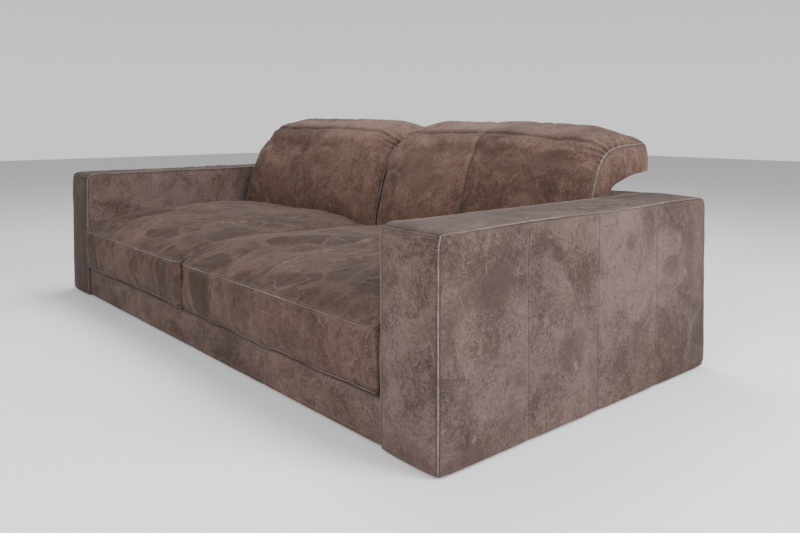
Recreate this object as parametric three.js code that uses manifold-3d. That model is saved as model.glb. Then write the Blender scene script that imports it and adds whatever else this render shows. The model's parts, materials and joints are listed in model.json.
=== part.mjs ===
// A wide two-seat leather sofa with low box arms and two tilting headrests.
//
// Millimetres. +X runs along the seat, -Y is the front and +Z is up. The origin is on the
// floor, under the middle of the sofa. The headrests are folded back, as they are at rest.
//
// Sections are drawn in the YZ plane, as points [y, z], and run along X.

import * as THREE from 'three';
import { mergeVertices } from 'three/addons/utils/BufferGeometryUtils.js';
import Module from 'manifold-3d';

const wasm = await Module();
wasm.setup();

// ---------------------------------------------------------------- driving dimensions

const WIDTH = 2600;
const ARM = { width: 208, depth: 1250, height: 580, round: 30, edge: 6 };
const BACK = { front: 406, rear: 622, top: 580, round: 25, edge: 4 };
const BASE = { front: -614, rear: 396, bottom: 22, top: 138 };

const COVER = 12; // leather bonded to its foam
const CUSHION_COVER = 12; // leather with its quilted wadding
const PLY = 18;
const THIN_PLY = 12;
const CLEAR = 0.5; // between pieces that lie against each other
const FOAM_CLEAR = 5; // between a foam core and its cover
const HEM = 8; // the covers end this far above the floor
const FRAME_FOOT = 10; // the arm and back panels end this far above the floor
const ARM_INNER = WIDTH / 2 - ARM.width;
const BETWEEN_ARMS = ARM_INNER - 4;

const SEAT = { inner: 3, outer: 1087, front: -640, rear: 232, bottom: 146, seam: 315, crown: 108 };
const ZIP = { length: 820, height: 30, z: 200 };

const CUSHION = { inner: 4, outer: 1078, bottom: 152, rear: 396, swell: 28 };
const HINGE = { y: 440, z: 650 };
const HEADREST = { rear: 640, swell: 78, boardStart: 0.12, boardEnd: 0.93 };

const WEBBING = { width: 80, thickness: 1.8, perSeat: 3 };
const DUST_COVER = { top: 21.5, thickness: 1.5, inset: 12 };
const GLIDE = { radius: 20, fromEnd: 37, rim: 2 };
const CENTRE_FOOT = { radius: 25, front: -540, rear: 340 };

const RATCHET = {
  barrel: 11, pin: 6, bore: 6.4, width: 24, strip: 4, foot: 430, bend: 598, fromMiddle: 290, reach: 600,
};

const COLOURS = {
  leather: [0x86716a, 0.88, 0],
  foam: [0xe8ddb8, 0.95, 0],
  plywood: [0xc9a878, 0.7, 0],
  webbing: [0x2d2b2a, 0.9, 0],
  dustCover: [0x1d1c1c, 0.95, 0],
  steel: [0x8c8f92, 0.35, 0.9],
  plastic: [0x1a1a1a, 0.5, 0],
};

// ---------------------------------------------------------------- solids

const finishes = Object.fromEntries(
  Object.entries(COLOURS).map(([name, [color, roughness, metalness]]) => [
    name,
    new THREE.MeshStandardMaterial({ name, color, roughness, metalness }),
  ]),
);

const sofa = new THREE.Group();

function place(name, geometry, finish) {
  const mesh = new THREE.Mesh(geometry, finishes[finish]);
  mesh.name = name;
  sofa.add(mesh);
}

function solid(geometry) {
  const bare = geometry.clone();
  bare.deleteAttribute('normal');
  bare.deleteAttribute('uv');
  const welded = mergeVertices(bare, 1e-4);
  return new wasm.Manifold(new wasm.Mesh({
    numProp: 3,
    vertProperties: new Float32Array(welded.attributes.position.array),
    triVerts: new Uint32Array(welded.index.array),
  }));
}

function surface(manifold) {
  const { vertProperties, triVerts } = manifold.getMesh();
  const geometry = new THREE.BufferGeometry();
  geometry.setAttribute('position', new THREE.BufferAttribute(vertProperties, 3));
  geometry.setIndex(new THREE.BufferAttribute(triVerts, 1));
  return geometry;
}

const cut = (whole, tool) => surface(solid(whole).subtract(solid(tool)));
const join = (first, second) => surface(solid(first).add(solid(second)));

function box([x0, x1], [y0, y1], [z0, z1]) {
  const geometry = new THREE.BoxGeometry(x1 - x0, y1 - y0, z1 - z0);
  return geometry.translate((x0 + x1) / 2, (y0 + y1) / 2, (z0 + z1) / 2);
}

// Runs a YZ section along X, with its edges rounded over by `edge`.
function alongX(shape, x0, x1, edge = 0) {
  const geometry = new THREE.ExtrudeGeometry(shape, {
    depth: x1 - x0 - 2 * edge,
    bevelEnabled: edge > 0,
    bevelThickness: edge,
    bevelSize: edge,
    bevelOffset: -edge,
    bevelSegments: 2,
    curveSegments: 5,
  });
  const turn = new THREE.Matrix4().makeBasis(
    new THREE.Vector3(0, 1, 0),
    new THREE.Vector3(0, 0, 1),
    new THREE.Vector3(1, 0, 0),
  );
  return geometry.applyMatrix4(turn).translate(x0 + edge, 0, 0);
}

function outline(points) {
  return new THREE.Shape(points.map(([y, z]) => new THREE.Vector2(y, z)));
}

// A rectangle whose two top corners are round.
function roundTop(y0, y1, z0, z1, radius) {
  const shape = new THREE.Shape();
  shape.moveTo(y0, z0);
  shape.lineTo(y1, z0);
  shape.lineTo(y1, z1 - radius);
  shape.absarc(y1 - radius, z1 - radius, radius, 0, Math.PI / 2);
  shape.lineTo(y0 + radius, z1);
  shape.absarc(y0 + radius, z1 - radius, radius, Math.PI / 2, Math.PI);
  return shape;
}

function barAlongX(y, z, radius, x0, x1) {
  const geometry = new THREE.CylinderGeometry(radius, radius, x1 - x0, 28);
  return geometry.rotateZ(Math.PI / 2).translate((x0 + x1) / 2, y, z);
}

// ---------------------------------------------------------------- padded forms

// An edge of a cushion's section, as a smooth curve. Past its ends it runs straight on.
function edgeCurve(points) {
  const curve = new THREE.SplineCurve(points.map(([y, z]) => new THREE.Vector2(y, z)));
  const chord = curve.getPoint(1).sub(curve.getPoint(0));
  return (s) => {
    const inside = Math.min(Math.max(s, 0), 1);
    return curve.getPoint(inside).addScaledVector(chord, s - inside);
  };
}

// A padded form between the edge `hidden`, which lies against something, and the edge `face`,
// which swells. `low` and `high` set how far the form stays in from each of them, and `thick`
// makes it a slab on the hidden side instead. `span` is the stretch of the edges it covers.
function padded(form, { x, span = [0, 1], low = 0, high = 0, thick = null }) {
  const [nx, ns, nt] = form.cells;
  const geometry = new THREE.BoxGeometry(2, 1, 1, nx, ns, thick === null ? nt : 1);
  const position = geometry.attributes.position;
  for (let i = 0; i < position.count; i += 1) {
    const u = position.getX(i);
    const s = THREE.MathUtils.lerp(span[0], span[1], position.getY(i) + 0.5);
    const t = position.getZ(i) + 0.5;
    const hidden = form.hidden(s);
    const across = form.face(s).sub(hidden);
    const depth = across.length();
    across.normalize();
    const swollen = depth + form.swell(u, THREE.MathUtils.clamp(s, 0, 1)) - high;
    const far = thick === null ? swollen : low + thick;
    const point = hidden.addScaledVector(across, THREE.MathUtils.lerp(low, far, t));
    position.setXYZ(i, THREE.MathUtils.lerp(x[0], x[1], (u + 1) / 2), point.x, point.y);
  }
  return surface(upright(solid(geometry)));
}

// Mirrored mappings turn a form inside out, and this turns it back.
function upright(manifold) {
  if (manifold.volume() > 0) return manifold;
  const { vertProperties, triVerts } = manifold.getMesh();
  return new wasm.Manifold(new wasm.Mesh({ numProp: 3, vertProperties, triVerts: triVerts.reverse() }));
}

const narrowed = ([x0, x1], by) => [x0 + by, x1 - by];

// The seat rises fast from its front seam and falls slowly towards the back.
const seatForm = {
  cells: [10, 8, 2],
  hidden: edgeCurve([[SEAT.front + 18, SEAT.bottom], [SEAT.rear, SEAT.bottom]]),
  face: edgeCurve([[SEAT.front, SEAT.seam], [SEAT.rear, SEAT.seam]]),
  swell: (u, s) => {
    const crest = 0.45;
    const along = s < crest ? 1 - (1 - s / crest) ** 3 : 1 - 0.2 * ((s - crest) / (1 - crest)) ** 2;
    return SEAT.crown * along * (1 - 0.35 * Math.abs(u) ** 3);
  },
};

// The fixed part of the back cushion leans back above the seat and ends at the headrest.
const cushionForm = {
  cells: [8, 6, 2],
  hidden: edgeCurve([[CUSHION.rear, CUSHION.bottom], [CUSHION.rear, HINGE.z + 14]]),
  face: edgeCurve([[246, CUSHION.bottom], [246, 350], [288, 515], [347, 683]]),
  swell: (u, s) => CUSHION.swell * THREE.MathUtils.smoothstep(s, 0.42, 0.8) * (1 - u ** 4),
};

// The headrest runs back from its hinge to its rear end.
const headrestForm = {
  cells: [8, 6, 2],
  hidden: edgeCurve([[480, 625], [HEADREST.rear, 661]]),
  face: edgeCurve([[444, 740], [540, 748], [HEADREST.rear, 750]]),
  swell: (u, s) => HEADREST.swell * (0.82 + 0.18 * Math.sin(Math.PI * s) - 0.45 * s ** 4) * (1 - u ** 4),
};

// ---------------------------------------------------------------- arms, back and base

const mirrored = (side, [x0, x1]) => (side > 0 ? [x0, x1] : [-x1, -x0]);

function makeArm(label, side) {
  const half = ARM.depth / 2;
  const [x0, x1] = mirrored(side, [ARM_INNER, WIDTH / 2]);
  const outer = alongX(roundTop(-half, half, HEM, ARM.height, ARM.round), x0, x1, ARM.edge);
  const hollow = box(narrowed([x0, x1], COVER), [COVER - half, half - COVER], [0, ARM.height - COVER]);
  place(`arm_cover_${label}`, cut(outer, hollow), 'leather');

  const inside = half - COVER - CLEAR;
  const top = ARM.height - COVER - CLEAR;
  const shell = COVER + CLEAR;
  const innerPanel = [ARM_INNER + shell, ARM_INNER + shell + PLY];
  const outerPanel = [WIDTH / 2 - shell - PLY, WIDTH / 2 - shell];
  const between = mirrored(side, [innerPanel[1] + CLEAR, outerPanel[0] - CLEAR]);
  const underTop = [FRAME_FOOT, top - PLY - CLEAR];
  const panel = (name, x, y, z) => place(`arm_${name}_${label}`, box(x, y, z), 'plywood');
  panel('inner_panel', mirrored(side, innerPanel), [-inside, inside], [FRAME_FOOT, top]);
  panel('outer_panel', mirrored(side, outerPanel), [-inside, inside], [FRAME_FOOT, top]);
  panel('top_board', between, [-inside, inside], [top - PLY, top]);
  panel('front_board', between, [-inside, PLY - inside], underTop);
  panel('rear_board', between, [inside - PLY, inside], underTop);
}

function makeBack() {
  const half = BETWEEN_ARMS;
  const outer = alongX(roundTop(BACK.front, BACK.rear, HEM, BACK.top, BACK.round), -half, half, BACK.edge);
  const hollow = box(
    narrowed([-half, half], COVER),
    [BACK.front + COVER, BACK.rear - COVER],
    [0, BACK.top - COVER],
  );
  place('back_cover', cut(outer, hollow), 'leather');

  const shell = COVER + CLEAR;
  const [front, rear] = [BACK.front + shell, BACK.rear - shell];
  const end = half - shell;
  const top = BACK.top - shell;
  const underTop = [FRAME_FOOT, top - PLY - CLEAR];
  const panel = (name, x, y, z) => place(`back_${name}`, box(x, y, z), 'plywood');
  panel('top_board', [-end, end], [front, rear], [top - PLY, top]);
  panel('front_panel', [-end, end], [front, front + THIN_PLY], underTop);
  panel('rear_panel', [-end, end], [rear - THIN_PLY, rear], underTop);
  const ribs = { left: PLY - end - PLY / 2, centre: 0, right: end - PLY + PLY / 2 };
  for (const [label, x] of Object.entries(ribs)) {
    const depth = [front + THIN_PLY + CLEAR, rear - THIN_PLY - CLEAR];
    panel(`rib_${label}`, [x - PLY / 2, x + PLY / 2], depth, underTop);
  }
}

function makeBase() {
  const half = BETWEEN_ARMS;
  const height = [BASE.bottom, BASE.top];
  place('base_front_cover', box([-half, half], [BASE.front, BASE.front + COVER], [HEM, BASE.top + 2]), 'leather');

  const front = BASE.front + COVER + CLEAR;
  const board = (name, x, y) => place(`base_${name}`, box(x, y, height), 'plywood');
  board('front_board', [-half, half], [front, front + PLY]);
  board('rear_board', [-half, half], [BASE.rear - PLY, BASE.rear]);
  const depth = [front + PLY + CLEAR, BASE.rear - PLY - CLEAR];
  board('side_board_left', [-half, PLY - half], depth);
  board('side_board_right', [half - PLY, half], depth);
  board('centre_board', [-PLY / 2, PLY / 2], depth);

  const dustX = half - DUST_COVER.inset;
  const dustY = [front + DUST_COVER.inset, BASE.rear - DUST_COVER.inset];
  const dustZ = [DUST_COVER.top - DUST_COVER.thickness, DUST_COVER.top];
  place('dust_cover', box([-dustX, dustX], dustY, dustZ), 'dustCover');

  const strapZ = BASE.top + CLEAR;
  for (const [label, side] of [['left', -1], ['right', 1]]) {
    for (let i = 1; i <= WEBBING.perSeat; i += 1) {
      const x = side * half * i / (WEBBING.perSeat + 1);
      const width = [x - WEBBING.width / 2, x + WEBBING.width / 2];
      const strap = box(width, [front + 4, BASE.rear - 4], [strapZ, strapZ + WEBBING.thickness]);
      place(`webbing_${label}_${i}`, strap, 'webbing');
    }
  }
}

// A moulded foot with a small rim chamfer, its flat face on the floor.
function foot(x, y, radius, height) {
  const profile = [[0, 0], [radius - GLIDE.rim, 0], [radius, GLIDE.rim], [radius, height], [0, height]];
  const points = profile.map(([r, z]) => new THREE.Vector2(r, z));
  return new THREE.LatheGeometry(points, 24).rotateX(Math.PI / 2).translate(x, y, 0);
}

function makeFeet() {
  const x = WIDTH / 2 - ARM.width / 2;
  const y = ARM.depth / 2 - GLIDE.fromEnd;
  const height = FRAME_FOOT - CLEAR;
  const corners = { front_left: [-x, -y], front_right: [x, -y], rear_left: [-x, y], rear_right: [x, y] };
  for (const [label, [px, py]] of Object.entries(corners)) {
    place(`glide_${label}`, foot(px, py, GLIDE.radius, height), 'plastic');
  }
  const centreHeight = DUST_COVER.top - DUST_COVER.thickness - CLEAR;
  place('centre_foot_front', foot(0, CENTRE_FOOT.front, CENTRE_FOOT.radius, centreHeight), 'plastic');
  place('centre_foot_rear', foot(0, CENTRE_FOOT.rear, CENTRE_FOOT.radius, centreHeight), 'plastic');
}

// ---------------------------------------------------------------- cushions and headrests

function makeSeat(label, side) {
  const x = mirrored(side, [SEAT.inner, SEAT.outer]);
  const length = SEAT.rear - SEAT.front;
  const inset = (by) => ({ x: narrowed(x, by), span: [by / length, 1 - by / length], low: by, high: by });
  const shell = cut(padded(seatForm, { x }), padded(seatForm, inset(CUSHION_COVER)));
  const middle = (x[0] + x[1]) / 2;
  const zip = box(
    [middle - ZIP.length / 2, middle + ZIP.length / 2],
    [SEAT.rear - 2 * CUSHION_COVER, SEAT.rear + CUSHION_COVER],
    [ZIP.z, ZIP.z + ZIP.height],
  );
  place(`seat_cover_${label}`, cut(shell, zip), 'leather');
  place(`seat_foam_${label}`, padded(seatForm, inset(CUSHION_COVER + FOAM_CLEAR)), 'foam');
}

// The cover of the back cushion and that of the headrest are open where they meet.
function makeBackCushion(label, side) {
  const x = mirrored(side, [CUSHION.inner, CUSHION.outer]);
  const length = HINGE.z - CUSHION.bottom;
  const inset = (by, end) => ({ x: narrowed(x, by), span: [by / length, end], low: by, high: by });
  const hollow = padded(cushionForm, inset(CUSHION_COVER, 1.05));
  place(`back_cushion_cover_${label}`, cut(padded(cushionForm, { x }), hollow), 'leather');
  place(`back_cushion_foam_${label}`, padded(cushionForm, inset(CUSHION_COVER + FOAM_CLEAR, 0.99)), 'foam');
}

function makeHeadrest(label, side) {
  const x = mirrored(side, [CUSHION.inner, CUSHION.outer]);
  const length = HEADREST.rear - HINGE.y;
  const end = (by) => 1 - by / length;
  const inner = { x: narrowed(x, CUSHION_COVER), low: CUSHION_COVER, high: CUSHION_COVER };
  const hollow = padded(headrestForm, { ...inner, span: [-0.1, end(CUSHION_COVER)] });
  place(`headrest_cover_${label}`, cut(padded(headrestForm, { x }), hollow), 'leather');

  const boardLow = CUSHION_COVER + CLEAR;
  const board = {
    x: narrowed(x, 3 * CUSHION_COVER),
    span: [HEADREST.boardStart, HEADREST.boardEnd],
    low: boardLow,
    thick: THIN_PLY,
  };
  place(`headrest_board_${label}`, padded({ ...headrestForm, cells: [1, 1, 1] }, board), 'plywood');

  const foam = {
    x: narrowed(x, CUSHION_COVER + FOAM_CLEAR),
    span: [0.01, end(CUSHION_COVER + FOAM_CLEAR)],
    low: boardLow + THIN_PLY + RATCHET.strip + 4 * CLEAR,
    high: CUSHION_COVER + FOAM_CLEAR,
  };
  place(`headrest_foam_${label}`, padded(headrestForm, foam), 'foam');
}

// A ratchet fitting. Its base is screwed to the front of the back, and carries the pin that
// the arm under the headrest turns on.
function makeRatchet(label, x) {
  const { barrel, pin, bore, width, strip, foot: low, bend, reach } = RATCHET;
  const baseX = [x - width, x - CLEAR];
  const armX = [x, x + width];
  const gapMiddle = (CUSHION.rear + BACK.front) / 2 + 1;
  const [near, far] = [gapMiddle - strip / 2, gapMiddle + strip / 2];
  const plate = outline([
    [near, low], [far, low], [far, bend], [HINGE.y + strip, HINGE.z - strip],
    [HINGE.y - strip, HINGE.z + strip / 2], [near, bend + strip / 2],
  ]);
  const base = join(alongX(plate, ...baseX), barAlongX(HINGE.y, HINGE.z, barrel, ...baseX));
  const stub = barAlongX(HINGE.y, HINGE.z, pin, x - width / 2, x + width + strip);
  place(`ratchet_base_${label}`, join(base, stub), 'steel');

  const rise = CUSHION_COVER + THIN_PLY + 2 * CLEAR + 0.3;
  const underside = (y) => {
    const [a, b] = [headrestForm.hidden(0), headrestForm.hidden(1)];
    return a.y + (y - a.x) * (b.y - a.y) / (b.x - a.x) + rise;
  };
  const bar = outline([
    [HINGE.y, underside(HINGE.y)], [reach, underside(reach)],
    [reach, underside(reach) + strip], [HINGE.y, underside(HINGE.y) + strip],
  ]);
  const arm = join(alongX(bar, ...armX), barAlongX(HINGE.y, HINGE.z, barrel, ...armX));
  const hole = barAlongX(HINGE.y, HINGE.z, bore, x - strip, x + width + strip);
  place(`ratchet_arm_${label}`, cut(arm, hole), 'steel');
}

// ---------------------------------------------------------------- the sofa

makeBack();
makeBase();
makeFeet();
for (const [label, side] of [['left', -1], ['right', 1]]) {
  makeArm(label, side);
  makeSeat(label, side);
  makeBackCushion(label, side);
  makeHeadrest(label, side);
  const middle = side * (CUSHION.inner + CUSHION.outer) / 2;
  makeRatchet(`${label}_inner`, middle - side * RATCHET.fromMiddle);
  makeRatchet(`${label}_outer`, middle + side * RATCHET.fromMiddle);
}

export default sofa;
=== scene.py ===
"""A wide two-seat sofa in worn brushed leather, with box arms and tilting headrests."""

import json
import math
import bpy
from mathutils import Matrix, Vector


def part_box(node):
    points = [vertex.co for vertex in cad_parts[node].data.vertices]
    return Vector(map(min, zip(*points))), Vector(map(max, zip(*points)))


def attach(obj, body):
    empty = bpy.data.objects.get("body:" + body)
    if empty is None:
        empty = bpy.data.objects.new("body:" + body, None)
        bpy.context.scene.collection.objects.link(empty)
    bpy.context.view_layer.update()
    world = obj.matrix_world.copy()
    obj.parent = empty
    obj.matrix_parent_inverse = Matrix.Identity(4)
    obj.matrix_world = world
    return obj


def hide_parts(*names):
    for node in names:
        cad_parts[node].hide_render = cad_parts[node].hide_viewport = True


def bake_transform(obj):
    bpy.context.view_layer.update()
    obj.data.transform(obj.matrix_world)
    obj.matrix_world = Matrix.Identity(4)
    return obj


bl_info = {
    "name": "Worn Leather Sofa",
    "version": (1, 0, 0),
    "blender": (4, 5, 0),
    "location": "View3D > Sidebar > Sofa",
    "description": "Builds the soft pieces, leather and setting of a sofa round its frame",
    "category": "Object",
}

import bmesh
import bpy
import numpy as np
from bpy.props import FloatProperty, FloatVectorProperty, IntProperty, PointerProperty
from mathutils import Vector
from mathutils.bvhtree import BVHTree

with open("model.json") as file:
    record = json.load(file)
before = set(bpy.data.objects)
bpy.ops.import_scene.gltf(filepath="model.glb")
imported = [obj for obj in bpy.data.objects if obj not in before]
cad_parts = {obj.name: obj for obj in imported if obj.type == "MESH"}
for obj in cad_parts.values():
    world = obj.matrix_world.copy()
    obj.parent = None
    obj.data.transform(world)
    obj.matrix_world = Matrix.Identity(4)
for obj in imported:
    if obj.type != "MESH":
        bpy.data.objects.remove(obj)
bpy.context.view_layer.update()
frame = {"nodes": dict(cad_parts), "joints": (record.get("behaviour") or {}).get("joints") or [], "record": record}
SIDES = {"left": -1, "right": 1}
BODY = "sofa_body"
LEATHER_SLOT = "worn_nubuck"
# Points nearer to a plane than TINY are on it, and nothing on the sofa is as far away as FAR.
TINY = 1e-6
FAR = 9.0


# ---------------------------------------------------------------- sizes and colours


class LeatherProperties(bpy.types.PropertyGroup):
    """The leather's colours and its wear."""

    dark: FloatVectorProperty(
        name="Dark nap", description="Leather brushed against its nap", subtype="COLOR",
        size=3, default=(0.036, 0.0215, 0.0165), min=0, max=1)
    middle: FloatVectorProperty(
        name="Middle tone", description="The leather's main colour", subtype="COLOR",
        size=3, default=(0.072, 0.0455, 0.0365), min=0, max=1)
    pale: FloatVectorProperty(
        name="Pale nap", description="Leather brushed with its nap", subtype="COLOR",
        size=3, default=(0.128, 0.088, 0.073), min=0, max=1)
    welt: FloatVectorProperty(
        name="Welt", description="The worn edge of a welt", subtype="COLOR",
        size=3, default=(0.200, 0.155, 0.137), min=0, max=1)
    thread: FloatVectorProperty(
        name="Thread", description="The seams' thread", subtype="COLOR",
        size=3, default=(0.170, 0.130, 0.113), min=0, max=1)
    roughness: FloatProperty(
        name="Roughness", description="How matt the nap is", subtype="FACTOR",
        default=0.86, min=0, max=1)


class SeamProperties(bpy.types.PropertyGroup):
    """The sizes of welts, seams and stitches."""

    welt_radius: FloatProperty(
        name="Welt radius", description="Radius of a piped edge", unit="LENGTH", default=0.0021,
        min=0.0005)
    stitch_pitch: FloatProperty(
        name="Stitch pitch", description="From one stitch to the next", unit="LENGTH", default=0.0075,
        min=0.002)
    stitch_length: FloatProperty(
        name="Stitch length", description="Length of a stitch", unit="LENGTH", default=0.0055,
        min=0.001)
    stitch_width: FloatProperty(
        name="Stitch width", description="Thickness of the thread", unit="LENGTH", default=0.0010,
        min=0.0002)
    topstitch_gap: FloatProperty(
        name="Topstitch distance", description="From a seam to its row of stitches", unit="LENGTH",
        default=0.007, min=0.001)


class CushionProperties(bpy.types.PropertyGroup):
    """How full and how creased the cushions are."""

    pressure: FloatProperty(
        name="Filling pressure", description="Pressure that the cloth simulation fills a cushion with",
        default=3.0, min=0)
    slack: FloatProperty(
        name="Slack", description="How much longer the leather is than the foam", subtype="FACTOR",
        default=0.018, min=0, max=0.2)
    cap: FloatProperty(
        name="Largest swelling", description="How far the simulation may move the leather", unit="LENGTH",
        default=0.012, min=0)
    frames: IntProperty(
        name="Simulation steps", description="Frames of cloth simulation", default=22, min=2)


# ---------------------------------------------------------------- fields


def waves(points, size, seed, count=14):
    """A smooth field of about -1 to 1, with bumps `size` metres across: a sum of seeded sine waves."""
    rng = np.random.default_rng(seed)
    directions = rng.normal(size=(count, 3))
    directions /= np.linalg.norm(directions, axis=1)[:, None]
    lengths = size * rng.uniform(1.4, 2.6, count)
    phases = rng.uniform(0, 2 * math.pi, count)
    total = np.sin((points @ directions.T) * (2 * math.pi / lengths) + phases).sum(axis=1)
    return total / math.sqrt(count / 2) / 1.6


def smooth(x):
    """0 below 0, 1 above 1, and a smooth step between them."""
    x = np.clip(x, 0, 1)
    return x * x * (3 - 2 * x)


def peak(distance, width):
    """1 at no distance, falling to 0 within about twice the width."""
    return np.exp(-(distance / width) ** 2)


def on_plane(points, axis, value):
    return np.abs(points[:, axis] - value) < TINY


def rounding(a, b):
    """How far the corner of two overlaps has to be pulled in, as a factor, to make it round."""
    longest = np.maximum(np.hypot(a, b), 1e-9)
    return np.where((a > 0) & (b > 0), np.maximum(a, b) / longest, 1.0)


def steps(low, high, edge, cell, near=()):
    """Grid lines from low to high: fine near both ends and the lines `near`, `cell` apart elsewhere."""
    fine = [0, edge * 0.4, edge, edge * 1.8]
    lines = [low + d for d in fine] + [high - d for d in fine]
    for line in near:
        lines += [line + d for d in (-0.009, -0.003, 0, 0.003, 0.009)]
    lines = sorted(x for x in set(lines) if low <= x <= high)
    out = [lines[0]]
    for x in lines[1:]:
        gap = x - out[-1]
        if gap < edge * 0.15 and x not in near and x != high:
            continue
        count = max(1, round(gap / cell))
        start = out[-1]
        out += [start + gap * (i + 1) / count for i in range(count)]
    return np.array(out)


def run_lengths(path):
    """How far along a path each of its points lies."""
    return np.concatenate([[0], np.cumsum(np.linalg.norm(np.diff(path, axis=0), axis=1))])


def read_along(values, lengths, at):
    """The rows of `values`, one for each point of a path, read at other places along it."""
    return np.stack([np.interp(at, lengths, column) for column in values.T], axis=1)


def crossing(curve_points):
    """A smooth curve through points in a plane, as a function of 0 to 1 (Catmull-Rom)."""
    p = np.array(curve_points, float)
    p = np.vstack([2 * p[0] - p[1], p, 2 * p[-1] - p[-2]])
    count = len(p) - 3

    def at(s):
        s = np.clip(np.asarray(s, float), 0, 1) * count
        i = np.minimum(s.astype(int), count - 1)
        t = (s - i)[:, None]
        a, b, c, d = p[i], p[i + 1], p[i + 2], p[i + 3]
        return 0.5 * (2 * b + (c - a) * t + (2 * a - 5 * b + 4 * c - d) * t ** 2
                      + (3 * b - a - 3 * c + d) * t ** 3)

    return at


def blob(place, centre, size, turn=0.0):
    """1 at the centre of a turned ellipse, falling to 0 a little outside it."""
    across = np.asarray(place, float) - np.array(centre)
    c, s = math.cos(math.radians(turn)), math.sin(math.radians(turn))
    a = (across[:, 0] * c + across[:, 1] * s) / size[0]
    b = (across[:, 1] * c - across[:, 0] * s) / size[1]
    return np.exp(-(a * a + b * b) ** 1.5)


def folds_along(place, folds):
    """Raised folds with a hollow beside each, on a flat map of a surface. A fold is
    (points of its line, height, width)."""
    total = np.zeros(len(place))
    for line, height, width in folds:
        path = crossing(line)(np.linspace(0, 1, 5 * len(line)))
        lengths = run_lengths(path)
        reach = 4 * width
        near = np.all((place > path.min(axis=0) - reach) & (place < path.max(axis=0) + reach), axis=1)
        spots = place[near]
        best, signed, along = (np.full(len(spots), FAR) for _ in range(3))
        for start, end, done in zip(path[:-1], path[1:], lengths[:-1]):
            way = end - start
            share = np.clip((spots - start) @ way / (way @ way), 0, 1)
            gap = spots - start - share[:, None] * way
            distance = np.linalg.norm(gap, axis=1)
            closer = distance < best
            best = np.where(closer, distance, best)
            hand = np.sign(way[0] * gap[:, 1] - way[1] * gap[:, 0])
            signed = np.where(closer, hand * distance, signed)
            along = np.where(closer, done + share * np.linalg.norm(way), along)
        ends = np.minimum(along, lengths[-1] - along) / (0.35 * lengths[-1])
        ridge = peak(signed, width) - 0.6 * peak(signed - 1.7 * width, width)
        total[near] += height * ridge * smooth(ends)
    return total


def scattered_folds(seed, count, low, high, turn, height, width, length):
    """Seeded folds for folds_along: gentle arcs in a box of the map, near one direction in degrees."""
    rng = np.random.default_rng(seed)
    folds = []
    for _ in range(count):
        middle = rng.uniform(low, high)
        angle = math.radians(turn[0] + turn[1] * rng.uniform(-1, 1))
        way = np.array([math.cos(angle), math.sin(angle)]) * rng.uniform(*length) / 2
        bow = np.array([-way[1], way[0]]) * rng.uniform(-0.25, 0.25)
        line = [middle - way, middle + bow, middle + way]
        folds.append((line, rng.uniform(*height), rng.uniform(*width)))
    return folds


# ---------------------------------------------------------------- meshes


def shell_grid(xs, ys, zs):
    """The surface of a box as a grid: its points, and quads that face out."""
    nx, ny, nz = len(xs) - 1, len(ys) - 1, len(zs) - 1
    index, points, faces = {}, [], []

    def corner(i, j, k):
        key = (i, j, k)
        if key not in index:
            index[key] = len(points)
            points.append((xs[i], ys[j], zs[k]))
        return index[key]

    def quads(first, second, place, flip):
        for a in range(first):
            for b in range(second):
                ring = [corner(*place(a, b)), corner(*place(a + 1, b)),
                        corner(*place(a + 1, b + 1)), corner(*place(a, b + 1))]
                faces.append(ring[::-1] if flip else ring)

    quads(nx, ny, lambda a, b: (a, b, nz), False)
    quads(nx, ny, lambda a, b: (a, b, 0), True)
    quads(ny, nz, lambda a, b: (nx, a, b), False)
    quads(ny, nz, lambda a, b: (0, a, b), True)
    quads(nx, nz, lambda a, b: (a, 0, b), False)
    quads(nx, nz, lambda a, b: (a, ny, b), True)
    return np.array(points), faces


def new_object(name, points, faces, materials=()):
    mesh = bpy.data.meshes.new(name)
    mesh.from_pydata([tuple(p) for p in np.asarray(points, float)], [], faces)
    mesh.validate()
    for material in materials:
        mesh.materials.append(material)
    piece = bpy.data.objects.new(name, mesh)
    bpy.context.scene.collection.objects.link(piece)
    mesh.polygons.foreach_set("use_smooth", [True] * len(mesh.polygons))
    return piece


def paint(piece, name, values):
    """Keeps one number for each vertex, which the leather's material reads."""
    attribute = piece.data.attributes.new(name, "FLOAT", "POINT")
    attribute.data.foreach_set("value", np.asarray(values, np.float32))


def apply_modifiers(piece):
    depsgraph = bpy.context.evaluated_depsgraph_get()
    mesh = bpy.data.meshes.new_from_object(piece.evaluated_get(depsgraph))
    piece.modifiers.clear()
    old = piece.data
    piece.data = mesh
    bpy.data.meshes.remove(old)


def subdivide(piece, levels=1):
    modifier = piece.modifiers.new("Subdivision", "SUBSURF")
    modifier.levels = levels
    modifier.render_levels = levels
    apply_modifiers(piece)


def vectors(piece, key):
    """A vector for each vertex: its place with "co", and its normal with "normal"."""
    out = np.zeros(len(piece.data.vertices) * 3)
    piece.data.vertices.foreach_get(key, out)
    return out.reshape(-1, 3)


def set_coordinates(piece, points):
    piece.data.vertices.foreach_set("co", np.asarray(points, np.float64).ravel())
    piece.data.update()


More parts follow.
